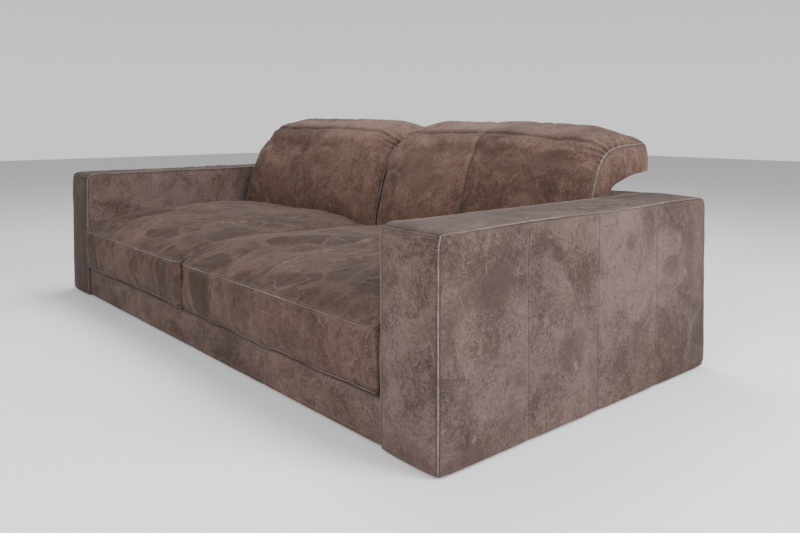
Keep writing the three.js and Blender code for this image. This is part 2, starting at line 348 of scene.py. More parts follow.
def tube(path, radius, sides=8):
    """Points and faces of a round tube along a path, with closed ends."""
    path = np.asarray(path, float)
    tangent = np.gradient(path, axis=0)
    tangent /= np.linalg.norm(tangent, axis=1)[:, None]
    side = np.cross(tangent, (0.31, 0.23, 0.92))
    side /= np.linalg.norm(side, axis=1)[:, None]
    other = np.cross(tangent, side)
    angles = np.linspace(0, 2 * math.pi, sides, endpoint=False)
    rings = [path + radius * (math.cos(a) * side + math.sin(a) * other) for a in angles]
    points = np.stack(rings, axis=1).reshape(-1, 3)
    faces = []
    for a in range(0, (len(path) - 1) * sides, sides):
        b = a + sides
        for j in range(sides):
            k = (j + 1) % sides
            faces.append([a + j, b + j, b + k, a + k])
    last = len(points) - sides
    faces.append(list(range(sides)))
    faces.append([last + j for j in reversed(range(sides))])
    return points, faces


def resample(path, pitch):
    """Points along a path, `pitch` apart."""
    path = np.asarray(path, float)
    lengths = run_lengths(path)
    count = max(2, int(lengths[-1] / pitch))
    return read_along(path, lengths, np.linspace(0, lengths[-1], count))


def stitches(path, up, seams):
    """Points and faces of a row of stitches along a path, on a surface whose normal there is `up`."""
    path = np.asarray(path, float)
    lengths = run_lengths(path)
    count = max(2, int(lengths[-1] / seams.stitch_pitch))
    at = np.linspace(0, lengths[-1], count + 1)[:-1] + seams.stitch_pitch / 2
    middle = read_along(path, lengths, at)
    along = read_along(path, lengths, at + 0.001) - middle
    normal = read_along(up, lengths, at)
    length = np.linalg.norm(along, axis=1)
    keep = length > TINY
    middle, along, normal = middle[keep], along[keep] / length[keep][:, None], normal[keep]
    normal /= np.linalg.norm(normal, axis=1)[:, None]
    across = np.cross(normal, along)
    half, wide = seams.stitch_length / 2, seams.stitch_width / 2
    shape = [(-1, 0, -0.6), (-0.55, -1, 0), (-0.55, 0, 1.1), (-0.55, 1, 0),
             (0.55, -1, 0), (0.55, 0, 1.1), (0.55, 1, 0), (1, 0, -0.6)]
    rings = [middle + half * a * along + wide * b * across + wide * c * normal for a, b, c in shape]
    points = np.stack(rings, axis=1).reshape(-1, 3)
    one = [(0, 2, 1), (0, 3, 2), (1, 2, 5, 4), (2, 3, 6, 5),
           (4, 5, 7), (5, 6, 7), (0, 1, 4, 7), (0, 7, 6, 3)]
    faces = [[8 * i + v for v in face] for i in range(len(along)) for face in one]
    return points, faces


def gather(parts):
    """Several point and face lists as one."""
    points, faces, base = [], [], 0
    for part_points, part_faces in parts:
        points.append(np.asarray(part_points))
        faces += [[base + v for v in face] for face in part_faces]
        base += len(part_points)
    return np.vstack(points), faces


def fasten(piece, body=BODY, stands_for=()):
    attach(piece, body)
    if stands_for:
        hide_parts(*stands_for)


# ---------------------------------------------------------------- materials


# Where a Mix node keeps its factor, its two colours and its mixed colour.
COLOUR_MIX_INPUTS = (0, 6, 7)
COLOUR_MIX_OUTPUT = 2


class Nodes:
    """Short calls for laying out one material's nodes."""

    def __init__(self, name):
        self.material = bpy.data.materials.new(name)
        self.material.use_nodes = True
        self.tree = self.material.node_tree
        self.shader = self.tree.nodes["Principled BSDF"]
        self.place = self.add("ShaderNodeTexCoord").outputs["Object"]

    def add(self, kind, inputs=None, **settings):
        node = self.tree.nodes.new(kind)
        for key, value in settings.items():
            setattr(node, key, value)
        for key, value in (inputs or {}).items():
            self.put(node.inputs[key], value)
        return node

    def put(self, socket, value):
        if isinstance(value, bpy.types.NodeSocket):
            self.tree.links.new(value, socket)
        else:
            socket.default_value = value

    def stretched(self, scale, shift=(0, 0, 0)):
        inputs = {"Vector": self.place, "Scale": scale, "Location": shift}
        return self.add("ShaderNodeMapping", inputs).outputs[0]

    def noise(self, scale, detail=4.0, rough=0.55, warp=0.0, place=None):
        inputs = {"Vector": place or self.place, "Scale": scale, "Detail": detail, "Roughness": rough,
                  "Distortion": warp}
        return self.add("ShaderNodeTexNoise", inputs).outputs["Fac"]

    def cells(self, scale, randomness=1.0, place=None, output="Distance", **settings):
        inputs = {"Vector": place or self.place, "Scale": scale, "Randomness": randomness}
        return self.add("ShaderNodeTexVoronoi", inputs, **settings).outputs[output]

    def net(self, scale, place):
        """The distance to the nearest line of a net between cells."""
        return self.cells(scale, place=place, feature="DISTANCE_TO_EDGE")

    def wave(self, scale, place=None, direction="X", **inputs):
        inputs = {"Vector": place or self.place, "Scale": scale, **inputs}
        return self.add("ShaderNodeTexWave", inputs, bands_direction=direction).outputs["Fac"]

    def remap(self, value, low, high, to_low=0.0, to_high=1.0, kind="SMOOTHSTEP"):
        node = self.add("ShaderNodeMapRange", {
            "Value": value, "From Min": low, "From Max": high, "To Min": to_low, "To Max": to_high},
            interpolation_type=kind)
        return node.outputs["Result"]

    def math(self, operation, first, second=0.0):
        node = self.add("ShaderNodeMath", operation=operation)
        self.put(node.inputs[0], first)
        self.put(node.inputs[1], second)
        return node.outputs[0]

    def times(self, first, second):
        return self.math("MULTIPLY", first, second)

    def total(self, *shares):
        """The sum of several values, each given with its share."""
        out = None
        for value, share in shares:
            part = self.times(value, share)
            out = part if out is None else self.math("ADD", out, part)
        return out

    def warped(self, scale, amount):
        """The place, shaken by a noise of this scale."""
        shake = self.add("ShaderNodeTexNoise", {"Vector": self.place, "Scale": scale, "Detail": 2.0})
        moved = self.add("ShaderNodeVectorMath", operation="MULTIPLY_ADD")
        self.put(moved.inputs[0], shake.outputs["Color"])
        moved.inputs[1].default_value = (amount, amount, amount)
        self.put(moved.inputs[2], self.place)
        return moved.outputs[0]

    def mix(self, share, first, second, blend="MIX"):
        node = self.add("ShaderNodeMix", data_type="RGBA", blend_type=blend)
        factor, first_socket, second_socket = (node.inputs[i] for i in COLOUR_MIX_INPUTS)
        self.put(factor, share)
        for socket, colour in ((first_socket, first), (second_socket, second)):
            self.put(socket, colour if isinstance(colour, bpy.types.NodeSocket) else (*colour, 1))
        return node.outputs[COLOUR_MIX_OUTPUT]

    def attribute(self, name):
        return self.add("ShaderNodeAttribute", attribute_name=name).outputs["Fac"]

    def bump(self, height, strength, distance, below=None):
        inputs = {"Height": height, "Strength": strength, "Distance": distance}
        if below is not None:
            inputs["Normal"] = below
        return self.add("ShaderNodeBump", inputs).outputs[0]

    def finish(self, color, roughness, normal=None):
        self.put(self.shader.inputs["Base Color"], color)
        self.put(self.shader.inputs["Roughness"], roughness)
        if normal is not None:
            self.put(self.shader.inputs["Normal"], normal)
        return self.material


def nubuck(name, colours, tint, marks, cool, brushed, even):
    """Worn brushed leather: mottled nap, darker swept marks, paler worn seams, painted highlight on fold crests,
    painted shade in grooves and hollows, pores and scratches.
    `marks` and `cool` are how marked and how grey it is, `brushed` stretches its nap, and `even` is
    how gently its tones meet."""
    n = Nodes(name)
    dark, middle, pale = (tuple(c * t for c, t in zip(colour, tint))
                          for colour in (colours.dark, colours.middle, colours.pale))
    clouds = n.noise(2.6, 4, 0.55, 0.5)
    smudges = n.noise(10, 8, 0.72, 0.8, n.stretched(brushed, (2.3, 0.4, 1.9)))
    streaks = n.noise(40, 6, 0.80, 2.2, n.stretched(brushed))
    fuzz = n.noise(170, 4, 0.8, 0.8)
    tone = n.total((clouds, 0.24), (smudges, 0.22), (streaks, 0.28), (fuzz, 0.26),
                   (n.attribute("tone"), 0.05))
    colour = dark
    for level, spread, lighter in ((0.472, 0.033, middle), (0.535, 0.038, pale)):
        colour = n.mix(n.remap(tone, level - spread * even, level + spread * even), colour, lighter)

    drift = n.noise(3.2, 3, 0.5, 1.5, n.stretched((1, 1, 1), (3.1, 1.7, 0.4)))
    feather = n.total((drift, 0.8), (n.attribute("swept"), 0.24), (smudges, 0.40), (streaks, 0.20),
                      (fuzz, 0.10))
    colour = n.mix(n.times(n.remap(feather, 0.77, 0.87), 0.28 * marks), colour, pale)
    swept = n.times(n.remap(feather, 0.880, 0.905), 0.80 * marks)
    colour = n.mix(swept, colour, n.mix(n.remap(fuzz, 0.45, 0.75), dark, middle))
    rubbed = n.total((n.noise(5.0, 5, 0.6, 1.9, n.stretched(brushed, (7, 2, 5))), 1.0), (streaks, 0.15))
    colour = n.mix(n.remap(rubbed, 0.66, 0.73, 0.0, 0.25), colour, pale)
    grey = n.mix(1.0, colour, (0.96, 0.98, 1.13), "MULTIPLY")
    colour = n.mix(n.times(n.remap(n.noise(1.7, 3, 0.5, 0.5), 0.40, 0.62), cool), colour, grey)

    shaken = n.noise(9, 3, 0.55, 2.2, n.stretched((1, 0.7, 1.2)))
    vein = n.math("ABSOLUTE", n.math("SUBTRACT", shaken, 0.5))
    broken = n.remap(n.noise(16, 3, 0.6), 0.53, 0.60)
    scratch = n.times(n.remap(vein, 0.0012, 0.0045, 1.0, 0.0), broken)
    colour = n.mix(n.times(scratch, 0.45), colour, colours.welt)
    for scale, shift, line, share in ((7.0, 0.3, colours.welt, 0.40), (11.0, 2.9, colours.dark, 0.45)):
        net = n.remap(n.net(scale, n.warped(9, 0.05)), 0.003, 0.010, 1.0, 0.0)
        cut = n.remap(n.noise(13, 2, 0.5, 0.0, n.stretched((1, 1, 1), (shift, shift, 0))), 0.57, 0.62)
        colour = n.mix(n.times(n.times(net, cut), share), colour, line)
    # Paler wear at edges and seams, with painted highlight on the crests of folds.
    wear_and_highlight = n.times(n.attribute("wear_and_highlight"), n.remap(n.noise(34, 4, 0.65), 0.34, 0.62))
    colour = n.mix(n.times(wear_and_highlight, 0.35), colour, colours.welt)
    # Painted shade: the crease attribute darkens the colour in grooves, beside seams, in fold hollows and in the
    # shadow under the seats.
    shade = n.remap(n.attribute("crease"), 0.0, 1.0, 1.0, 0.30)
    shade = n.add("ShaderNodeCombineColor", {0: shade, 1: shade, 2: shade}).outputs[0]
    colour = n.mix(1.0, colour, shade, "MULTIPLY")

    crinkle = n.remap(n.net(75.0, n.warped(60, 0.012)), 0.0, 0.10)
    normal = None
    for height, strength, distance in (
            (n.noise(30, 6, 0.66, 0.9), 0.42, 0.005), (crinkle, 0.16, 0.0010),
            (n.noise(190, 5, 0.75, 0.3), 0.42, 0.0014), (n.cells(560.0), 0.15, 0.0006),
            (scratch, 0.25, 0.0008)):
        normal = n.bump(height, strength, distance, normal)
    roughness = n.remap(tone, 0.38, 0.66, colours.roughness - 0.10, colours.roughness + 0.06, "LINEAR")
    for socket, value in (("Sheen Weight", 0.05), ("Sheen Roughness", 0.45),
                          ("Sheen Tint", (0.85, 0.72, 0.66, 1)), ("Specular IOR Level", 0.22)):
        n.shader.inputs[socket].default_value = value
    return n.finish(colour, roughness, normal)


def thread_material(colours):
    n = Nodes("waxed_thread")
    dull, pale = (tuple(c * share for c in colours.thread) for share in (0.7, 1.25))
    colour = n.mix(n.noise(60, 3), dull, pale)
    twist = n.wave(900.0, Distortion=2.0)
    return n.finish(colour, 0.75, n.bump(twist, 0.4, 0.0003))


def welt_material(name, colours, rubbed):
    """Leather folded over a cord, rubbed pale in places: `rubbed` is how much of it."""
    n = Nodes(name)
    rub = n.remap(n.noise(30, 5, 0.7, 0.8), 0.60 - 0.3 * rubbed, 0.74 - 0.2 * rubbed)
    colour = n.mix(rub, colours.pale, colours.welt)
    dull = n.times(n.remap(n.noise(6, 3), 0.44, 0.56), 0.9 - 0.8 * rubbed)
    colour = n.mix(dull, colour, colours.middle)
    normal = n.bump(n.noise(240, 4, 0.7), 0.35, 0.0008)
    return n.finish(colour, 0.8, normal)


def plywood_material():
    """Raw birch board: long figure, thin dark lines and a few open pores."""
    n = Nodes("raw_plywood")
    figure = n.noise(5, 6, 0.6, 2.2, n.stretched((0.5, 2.2, 2.2)))
    lines = n.wave(9.0, n.stretched((1, 1, 6)), Distortion=7.0, Detail=4.0, **{"Detail Scale": 1.4})
    colour = n.mix(figure, (0.50, 0.33, 0.19), (0.74, 0.57, 0.38))
    colour = n.mix(n.remap(lines, 0.55, 0.95, 0.0, 0.35), colour, (0.36, 0.22, 0.12))
    return n.finish(colour, n.remap(figure, 0.3, 0.7, 0.55, 0.75), n.bump(lines, 0.2, 0.0006))


def foam_material():
    """Cut foam: a cream block with open cells, yellowed in patches."""
    n = Nodes("cut_foam")
    cells = n.cells(420.0)
    colour = n.mix(n.noise(5, 4), (0.78, 0.68, 0.42), (0.88, 0.82, 0.62))
    colour = n.mix(n.remap(cells, 0.0, 0.5, 0.35, 0.0), colour, (0.45, 0.36, 0.18))
    return n.finish(colour, 0.95, n.bump(cells, 0.6, 0.002))


def webbing_material():
    """Elastic webbing: a black rib weave with two pale marker lines."""
    n = Nodes("elastic_webbing")
    weave = n.times(n.wave(160.0), n.wave(110.0, direction="Y"))
    colour = n.mix(weave, (0.02, 0.02, 0.02), (0.12, 0.11, 0.10))
    colour = n.mix(n.remap(n.noise(9, 3), 0.5, 0.7, 0.0, 0.3), colour, (0.25, 0.22, 0.18))
    return n.finish(colour, 0.85, n.bump(weave, 0.6, 0.001))


def dust_cloth_material():
    """Non-woven cloth: pressed fibres in every direction, with a small bonding dot."""
    n = Nodes("dust_cloth")
    fibres = n.noise(160, 6, 0.75, 3.0)
    dots = n.cells(240.0, 0.1)
    colour = n.mix(fibres, (0.012, 0.012, 0.012), (0.06, 0.058, 0.055))
    colour = n.mix(n.remap(n.noise(6, 4), 0.45, 0.75, 0.0, 0.4), colour, (0.16, 0.145, 0.125))
    return n.finish(colour, 0.95, n.bump(n.math("ADD", fibres, dots), 0.5, 0.0008))


def steel_material():
    """Zinc-plated steel: a faint spangle, with brown bloom where it has worn."""
    n = Nodes("plated_steel")
    bloom = n.remap(n.noise(34, 5, 0.65), 0.56, 0.72)
    colour = n.mix(0.10, (0.56, 0.57, 0.58), n.cells(130.0, output="Color"))
    colour = n.mix(n.times(bloom, 0.5), colour, (0.20, 0.12, 0.07))
    n.shader.inputs["Metallic"].default_value = 1.0
    return n.finish(colour, n.remap(bloom, 0.0, 1.0, 0.30, 0.65), n.bump(n.noise(300, 3), 0.1, 0.0003))


def plastic_material():
    """Moulded black plastic: a fine spark texture, scuffed grey."""
    n = Nodes("moulded_plastic")
    spark = n.noise(500, 3, 0.7)
    scuff = n.remap(n.noise(55, 5, 0.7, 1.0), 0.55, 0.7)
    colour = n.mix(n.times(scuff, 0.4), (0.018, 0.018, 0.019), (0.14, 0.135, 0.13))
    return n.finish(colour, n.remap(scuff, 0, 1, 0.42, 0.7), n.bump(spark, 0.2, 0.0004))


_made = {}


def material(name, maker, *arguments):
    """A material by its key, made the first time that it is asked for."""
    if name not in _made:
        _made[name] = maker(*arguments)
    return _made[name]


# How each part's copy of the one leather differs: its tint, then marks, cool, brushed and even, as nubuck has
# them. The tints are partly painted shade on the seats and painted light on the back cushions.
LEATHERS = {
    "seat": ((0.77, 0.68, 0.63), 1.1, 0.1, (1.0, 0.9, 0.9), 1.2),
    "back": ((1.22, 1.07, 0.99), 0.45, 0.1, (1.0, 1.0, 0.9), 1.7),
    "arm": ((1.02, 1.01, 1.06), 0.5, 0.6, (1.0, 1.0, 0.9), 1.35),
    "base": ((0.95, 0.90, 0.90), 0.9, 0.4, (0.9, 1.0, 1.0), 1.2),
}


def leather(kind):
    name = "nubuck_" + kind
    return material(name, nubuck, name, bpy.context.scene.sofa_leather, *LEATHERS[kind])


def welt_leather(rubbed):
    name = "welt_leather_" + str(round(100 * rubbed))
    return material(name, welt_material, name, bpy.context.scene.sofa_leather, rubbed)


# ---------------------------------------------------------------- laying seams on leather


def lay_on(piece, path):
    """The nearest points of a piece's surface to a path, and the surface's normals there."""
    tree = BVHTree.FromObject(piece, bpy.context.evaluated_depsgraph_get())
    found = [tree.find_nearest(Vector(p)) for p in path]
    return np.array([f[0] for f in found]), np.array([f[1] for f in found])


def sew(name, piece, rows):
    """Rows of stitches on a piece, each row given as a path near its surface."""
    seams = bpy.context.scene.sofa_seams
    parts = []
    for row in rows:
        points, up = lay_on(piece, resample(row, seams.stitch_pitch))
        parts.append(stitches(points + up * seams.stitch_width * 0.2, up, seams))
    thread = material("thread", thread_material, bpy.context.scene.sofa_leather)
    return new_object(name, *gather(parts), [thread])


def pipe(name, piece, paths, radius=None, lift=0.4, rubbed=0.3):
    """Welts along the edges of a piece: cords under folded leather."""
    seams = bpy.context.scene.sofa_seams
    radius = radius or seams.welt_radius
    parts = []
    for path in paths:
        points, up = lay_on(piece, resample(path, 0.012))
        parts.append(tube(soften(points + up * radius * lift, 2), radius))
    return new_object(name, *gather(parts), [welt_leather(rubbed)])


def soften(path, rounds):
    path = np.array(path, float)
    for _ in range(rounds):
        path[1:-1] = (path[:-2] + 2 * path[1:-1] + path[2:]) / 4
    return path


# ---------------------------------------------------------------- box-shaped leather


class Block:
    """A leather shell round a box-shaped frame. Its top corners and long edges are rounded, its
    faces are lightly padded, and seams pull the padding in."""

    def __init__(self, low, high, corner, edge, padding, seams=(), plain_side=None):
        self.low, self.high = np.array(low, float), np.array(high, float)
        self.corner, self.edge, self.padding, self.seams = corner, edge, padding, seams
        self.plain_side = plain_side

    def grid(self, cell):
        lines = []
        for axis in range(3):
            near = [value for along, value in self.seams if along == axis]
            lines.append(steps(self.low[axis], self.high[axis], self.edge, cell, near))
        return shell_grid(*lines)

    def seam_distance(self, raw):
        """How far each point is from the nearest seam across its face."""
        nearest = np.full(len(raw), FAR)
        for along, value in self.seams:
            nearest = np.minimum(nearest, np.abs(raw[:, along] - value))
        if self.plain_side is not None:
            nearest[on_plane(raw, 0, self.plain_side)] = FAR
        return nearest

    def edge_distance(self, raw):
        """How far each point is from the nearest edge of the box. The open bottom isn't one."""
        gaps = np.stack([raw[:, 0] - self.low[0], self.high[0] - raw[:, 0], raw[:, 1] - self.low[1],
                         self.high[1] - raw[:, 1], self.high[2] - raw[:, 2]], axis=1)
        return np.sort(gaps, axis=1)[:, 1]

    def place(self, raw):
        """Where points of the plain box's surface lie on the padded shell."""
        raw = np.array(raw, float)
        p = raw.copy()
        low, high, r = self.low, self.high, self.edge
        middle, half = (low[0] + high[0]) / 2, (high[0] - low[0]) / 2
        front, rear, top = p[:, 1] - low[1], high[1] - p[:, 1], high[2] - p[:, 2]
        inside = np.minimum(np.minimum(front, rear), top)
        e = np.maximum(r - inside, 0)
        f = np.maximum(np.abs(p[:, 0] - middle) - (half - r), 0)
        length = np.hypot(e, f)
        scale = np.where((e > 0) & (f > 0), r / np.maximum(length, 1e-9), 1.0)
        inset = np.where(e > 0, r - e * scale, inside)
        p[:, 0] = np.where(f > 0, middle + np.sign(p[:, 0] - middle) * (half - r + f * scale), p[:, 0])
        p[:, 1] = np.clip(p[:, 1], low[1] + inset, high[1] - inset)
        p[:, 2] = np.minimum(p[:, 2], high[2] - inset)
        centre, depth = (low[1] + high[1]) / 2, (high[1] - low[1]) / 2
        a = np.maximum(np.abs(p[:, 1] - centre) - (depth - self.corner), 0)
        b = np.maximum(p[:, 2] - (high[2] - self.corner), 0)
        pull = rounding(a, b)
        ahead = np.sign(p[:, 1] - centre)
        p[:, 1] = np.where(a > 0, centre + ahead * (depth - self.corner + a * pull), p[:, 1])
        p[:, 2] = np.where(b > 0, high[2] - self.corner + b * pull, p[:, 2])
        return p + self.pad(raw)

    def pad(self, raw):
        push = np.zeros_like(raw)
        seam = self.seam_distance(raw)
        for axis, sign in ((0, -1), (0, 1), (1, -1), (1, 1), (2, 1)):
            value = self.low[axis] if sign < 0 else self.high[axis]
            on = on_plane(raw, axis, value)
            swell = np.ones(len(raw))
            for other in {0, 1, 2} - {axis}:
                gap = self.high[other] - raw[:, other]
                if other != 2:
                    gap = np.minimum(gap, raw[:, other] - self.low[other])
                swell = swell * smooth(gap / 0.06)
            amount = self.padding * swell * (0.4 + 0.6 * smooth(seam / 0.05))
            amount = amount - 0.0024 * peak(seam, 0.0035) * smooth(swell * 4)
            push[on, axis] += sign * amount[on]
        return push


def add_paint(piece, name, share):
    """Adds to a painted value that a piece already has."""
    values = np.zeros(len(share), np.float32)
    attribute = piece.data.attributes[name]
    attribute.data.foreach_get("value", values)
    attribute.data.foreach_set("value", np.clip(values + share, 0, 1).astype(np.float32))


def rub_folds(piece, fold):
    """Paints the crests of folds paler, as wear and painted highlight, and paints shade into the hollows beside
    them.
    """
    add_paint(piece, "wear_and_highlight", np.clip(fold / 0.0070, 0, 0.7))
    add_paint(piece, "crease", np.clip(-fold / 0.0070, 0, 0.4))


def block_piece(name, block, cell, kind, seed, ripple, folds=None, open_below=True, patches=None):
    """A finished leather shell from a block: gridded, rippled, smoothed, with a turned hem below.
    `patches` gives extra tone and swept marks for the points of the plain box."""
    raw, faces = block.grid(cell)
    if open_below:
        bottom = on_plane(raw, 2, block.low[2])
        faces = [f for f in faces if not all(bottom[v] for v in f)]
    piece = new_object(name, block.place(raw), faces, [leather(kind)])
    edge = block.edge_distance(raw)
    seam = block.seam_distance(raw)
    rng = np.random.default_rng(seed)
    patch = np.zeros(len(raw))
    for along, value in block.seams:
        patch = patch + (raw[:, along] > value) * rng.uniform(-0.4, 0.4)
    if block.plain_side is not None:
        patch[on_plane(raw, 0, block.plain_side)] = 0.0
    tone, swept = patches(raw) if patches else (0.0, np.zeros(len(raw)))
    paint(piece, "tone", np.clip(patch + tone, -2.4, 1.6))
    paint(piece, "swept", swept)
    paint(piece, "wear_and_highlight", np.clip(0.7 * peak(edge, 0.006) + 0.5 * peak(seam, 0.006), 0, 1))
    # Painted shade: a dark line in the groove beside each edge, and along each seam.
    groove_shade = 0.75 * peak(edge - 0.0055, 0.0026)
    paint(piece, "crease", np.clip(groove_shade + 0.6 * peak(seam, 0.0020), 0, 1))
    subdivide(piece)
    points, up = vectors(piece, "co"), vectors(piece, "normal")
    move = ripple * (waves(points, 0.16, seed) + 0.45 * waves(points, 0.05, seed + 1))
    if folds is not None:
        fold = folds(points)
        move = move + fold
        rub_folds(piece, fold)
    settle = smooth((points[:, 2] - block.low[2]) / 0.03)
    set_coordinates(piece, points + up * (move * settle)[:, None])
    if open_below:
        line_inside(piece, block)
    return piece


def line_inside(piece, block, thickness=0.010):
    """Turns the shell's bottom hem in and closes it with a plain lining, so that it is one solid."""
    mesh = bmesh.new()
    mesh.from_mesh(piece.data)
    hem = [e for e in mesh.edges if e.is_boundary]
    for target in ("in", "up"):
        made = bmesh.ops.extrude_edge_only(mesh, edges=hem)["geom"]
        for v in (g for g in made if isinstance(g, bmesh.types.BMVert)):
            if target == "in":
                v.co.x = min(max(v.co.x, block.low[0] + thickness), block.high[0] - thickness)
                v.co.y = min(max(v.co.y, block.low[1] + thickness), block.high[1] - thickness)
            else:
                v.co.z = block.high[2] - thickness
        hem = [g for g in made if isinstance(g, bmesh.types.BMEdge) and g.is_boundary]
    bmesh.ops.contextual_create(mesh, geom=hem)
    bmesh.ops.recalc_face_normals(mesh, faces=mesh.faces)
    mesh.to_mesh(piece.data)
    mesh.free()


# ---------------------------------------------------------------- padded leather


class Cushion:
    """A closed leather cushion. Its section runs along `hidden`, the side that rests on something,
    and `face`, the side that swells, and it lies between two X positions. `settle` is how it gives
    way to what is round it."""

    def __init__(self, x, hidden, face, swell, cell, settle):
        self.x, self.settle = x, settle
        self.hidden, self.face, self.swell = crossing(hidden), crossing(face), swell
        self.length = float(run_lengths(self.face(np.linspace(0, 1, 60)))[-1])
        self.depth = float(np.linalg.norm(self.face(np.array([0.3])) - self.hidden(np.array([0.3]))))
        self.cell = cell

    def grid(self, edge=0.018):
        half = (self.x[1] - self.x[0]) / 2
        us = steps(-half, half, edge, self.cell) / half
        ss = steps(0, self.length, edge, self.cell) / self.length
        ts = steps(0, self.depth, edge, self.cell * 1.3) / self.depth
        return shell_grid(us, ss, ts)

    def place(self, raw):
        raw = np.asarray(raw, float)
        u, s, t = raw.T
        hidden = self.hidden(s)
        across = self.face(s) - hidden
        depth = np.linalg.norm(across, axis=1)
        across = across / depth[:, None]
        yz = hidden + across * (t * (depth + self.swell(u, s)))[:, None]
        x = self.x[0] + (self.x[1] - self.x[0]) * (u + 1) / 2
        return self.settle(raw, np.column_stack([x, yz]))

    def row(self, u, s, t):
        """A path on the cushion. At least one of u, s and t is an array, and the others are numbers."""
        return self.place(np.column_stack(np.broadcast_arrays(u, s, t)))


def seam_weights(raw, hold_inside):
    """1 where the leather is sewn or held, 0 where the filling may move it."""
    u, s, t = np.abs(raw[:, 0]), raw[:, 1], raw[:, 2]
    on_end = u > 1 - TINY
    on_rim, on_face = ((x < TINY) | (x > 1 - TINY) for x in (s, t))
    sewn = (on_end.astype(int) + on_rim + on_face) >= 2
    return np.where(sewn | hold_inside, 1.0, 0.0)


def inflate(piece, held, settings):
    """Fills a cushion with Blender's cloth simulation, and limits how far its leather may move."""
    start = vectors(piece, "co")
    group = piece.vertex_groups.new(name="sewn")
    group.add([int(i) for i in np.nonzero(held > 0.5)[0]], 1.0, "REPLACE")
    modifier = piece.modifiers.new("Cloth", "CLOTH")
    cloth = modifier.settings
    cloth.quality = 5
    cloth.mass = 0.9
    cloth.tension_stiffness = cloth.compression_stiffness = 25
    cloth.shear_stiffness = 8
    cloth.bending_stiffness = 1.2
    cloth.tension_damping = cloth.compression_damping = 12
    cloth.use_pressure = True
    cloth.uniform_pressure_force = settings.pressure
    cloth.shrink_min = -settings.slack
    cloth.effector_weights.gravity = 0
    cloth.vertex_group_mass = "sewn"
    modifier.collision_settings.use_collision = False
    modifier.point_cache.frame_start = 1
    modifier.point_cache.frame_end = settings.frames
    for step in range(1, settings.frames + 1):
        bpy.context.scene.frame_set(step)
    apply_modifiers(piece)
    bpy.context.scene.frame_set(1)
    moved = vectors(piece, "co") - start
    far = np.linalg.norm(moved, axis=1)
    limit = settings.cap * np.tanh(far / settings.cap) / np.maximum(far, 1e-9)
    set_coordinates(piece, start + moved * limit[:, None])
    piece.vertex_groups.clear()


# ---------------------------------------------------------------- arms, back and base


ARM_SEAMS = (-0.30, 0.01, 0.32)
BACK_SEAMS = (-0.62, 0.0, 0.62)
BASE_SEAMS = (-0.52, 0.0, 0.50)
# Where folds drawn towards the outer seam of an arm's top start.
ARM_DRAWN_FOLDS = (0.05, 0.09, 0.15, 0.23)
UPRIGHT_POINTS = 40


def beside(seam, gap):
    """The two rows of stitches beside a seam."""
    return seam - gap, seam + gap


def edge_loop(block, x, inset=0.0, foot=0.010, wave=0.0):
    """The front, top and rear edges of a block at one X, as one path inset from its outline."""
    front, rear, top = block.low[1] + inset, block.high[1] - inset, block.high[2] - inset
    bottom = block.low[2] + foot
    return np.vstack([
        np.linspace((x, front, bottom), (x, front, top), UPRIGHT_POINTS),
        [(x, y, top - wave * (1.2 + math.sin(9 * y + 0.6))) for y in np.linspace(front, rear, 90)[1:-1]],
        np.linspace((x, rear, top), (x, rear, bottom), UPRIGHT_POINTS)])


# Darker swept marks on the arms' outer faces: centre and size across (Y, Z), and turn in degrees.
ARM_SWEEPS = {
    "left": [((-0.35, 0.35), (0.07, 0.12), 20), ((0.20, 0.30), (0.10, 0.08), -15)],
    "right": [((-0.42, 0.42), (0.08, 0.05), 35), ((0.17, 0.45), (0.035, 0.045), 0),
              ((0.28, 0.49), (0.035, 0.09), 5), ((0.40, 0.38), (0.05, 0.03), 10),
              ((0.52, 0.48), (0.03, 0.10), 0), ((-0.12, 0.20), (0.07, 0.05), 40)],
}
# The same on their tops, across (X from the middle, Y).
ARM_TOP_SWEEPS = [((1.20, 0.08), (0.11, 0.09), 0), ((1.16, -0.47), (0.06, 0.13), 0),
                  ((1.25, 0.33), (0.05, 0.10), 0)]


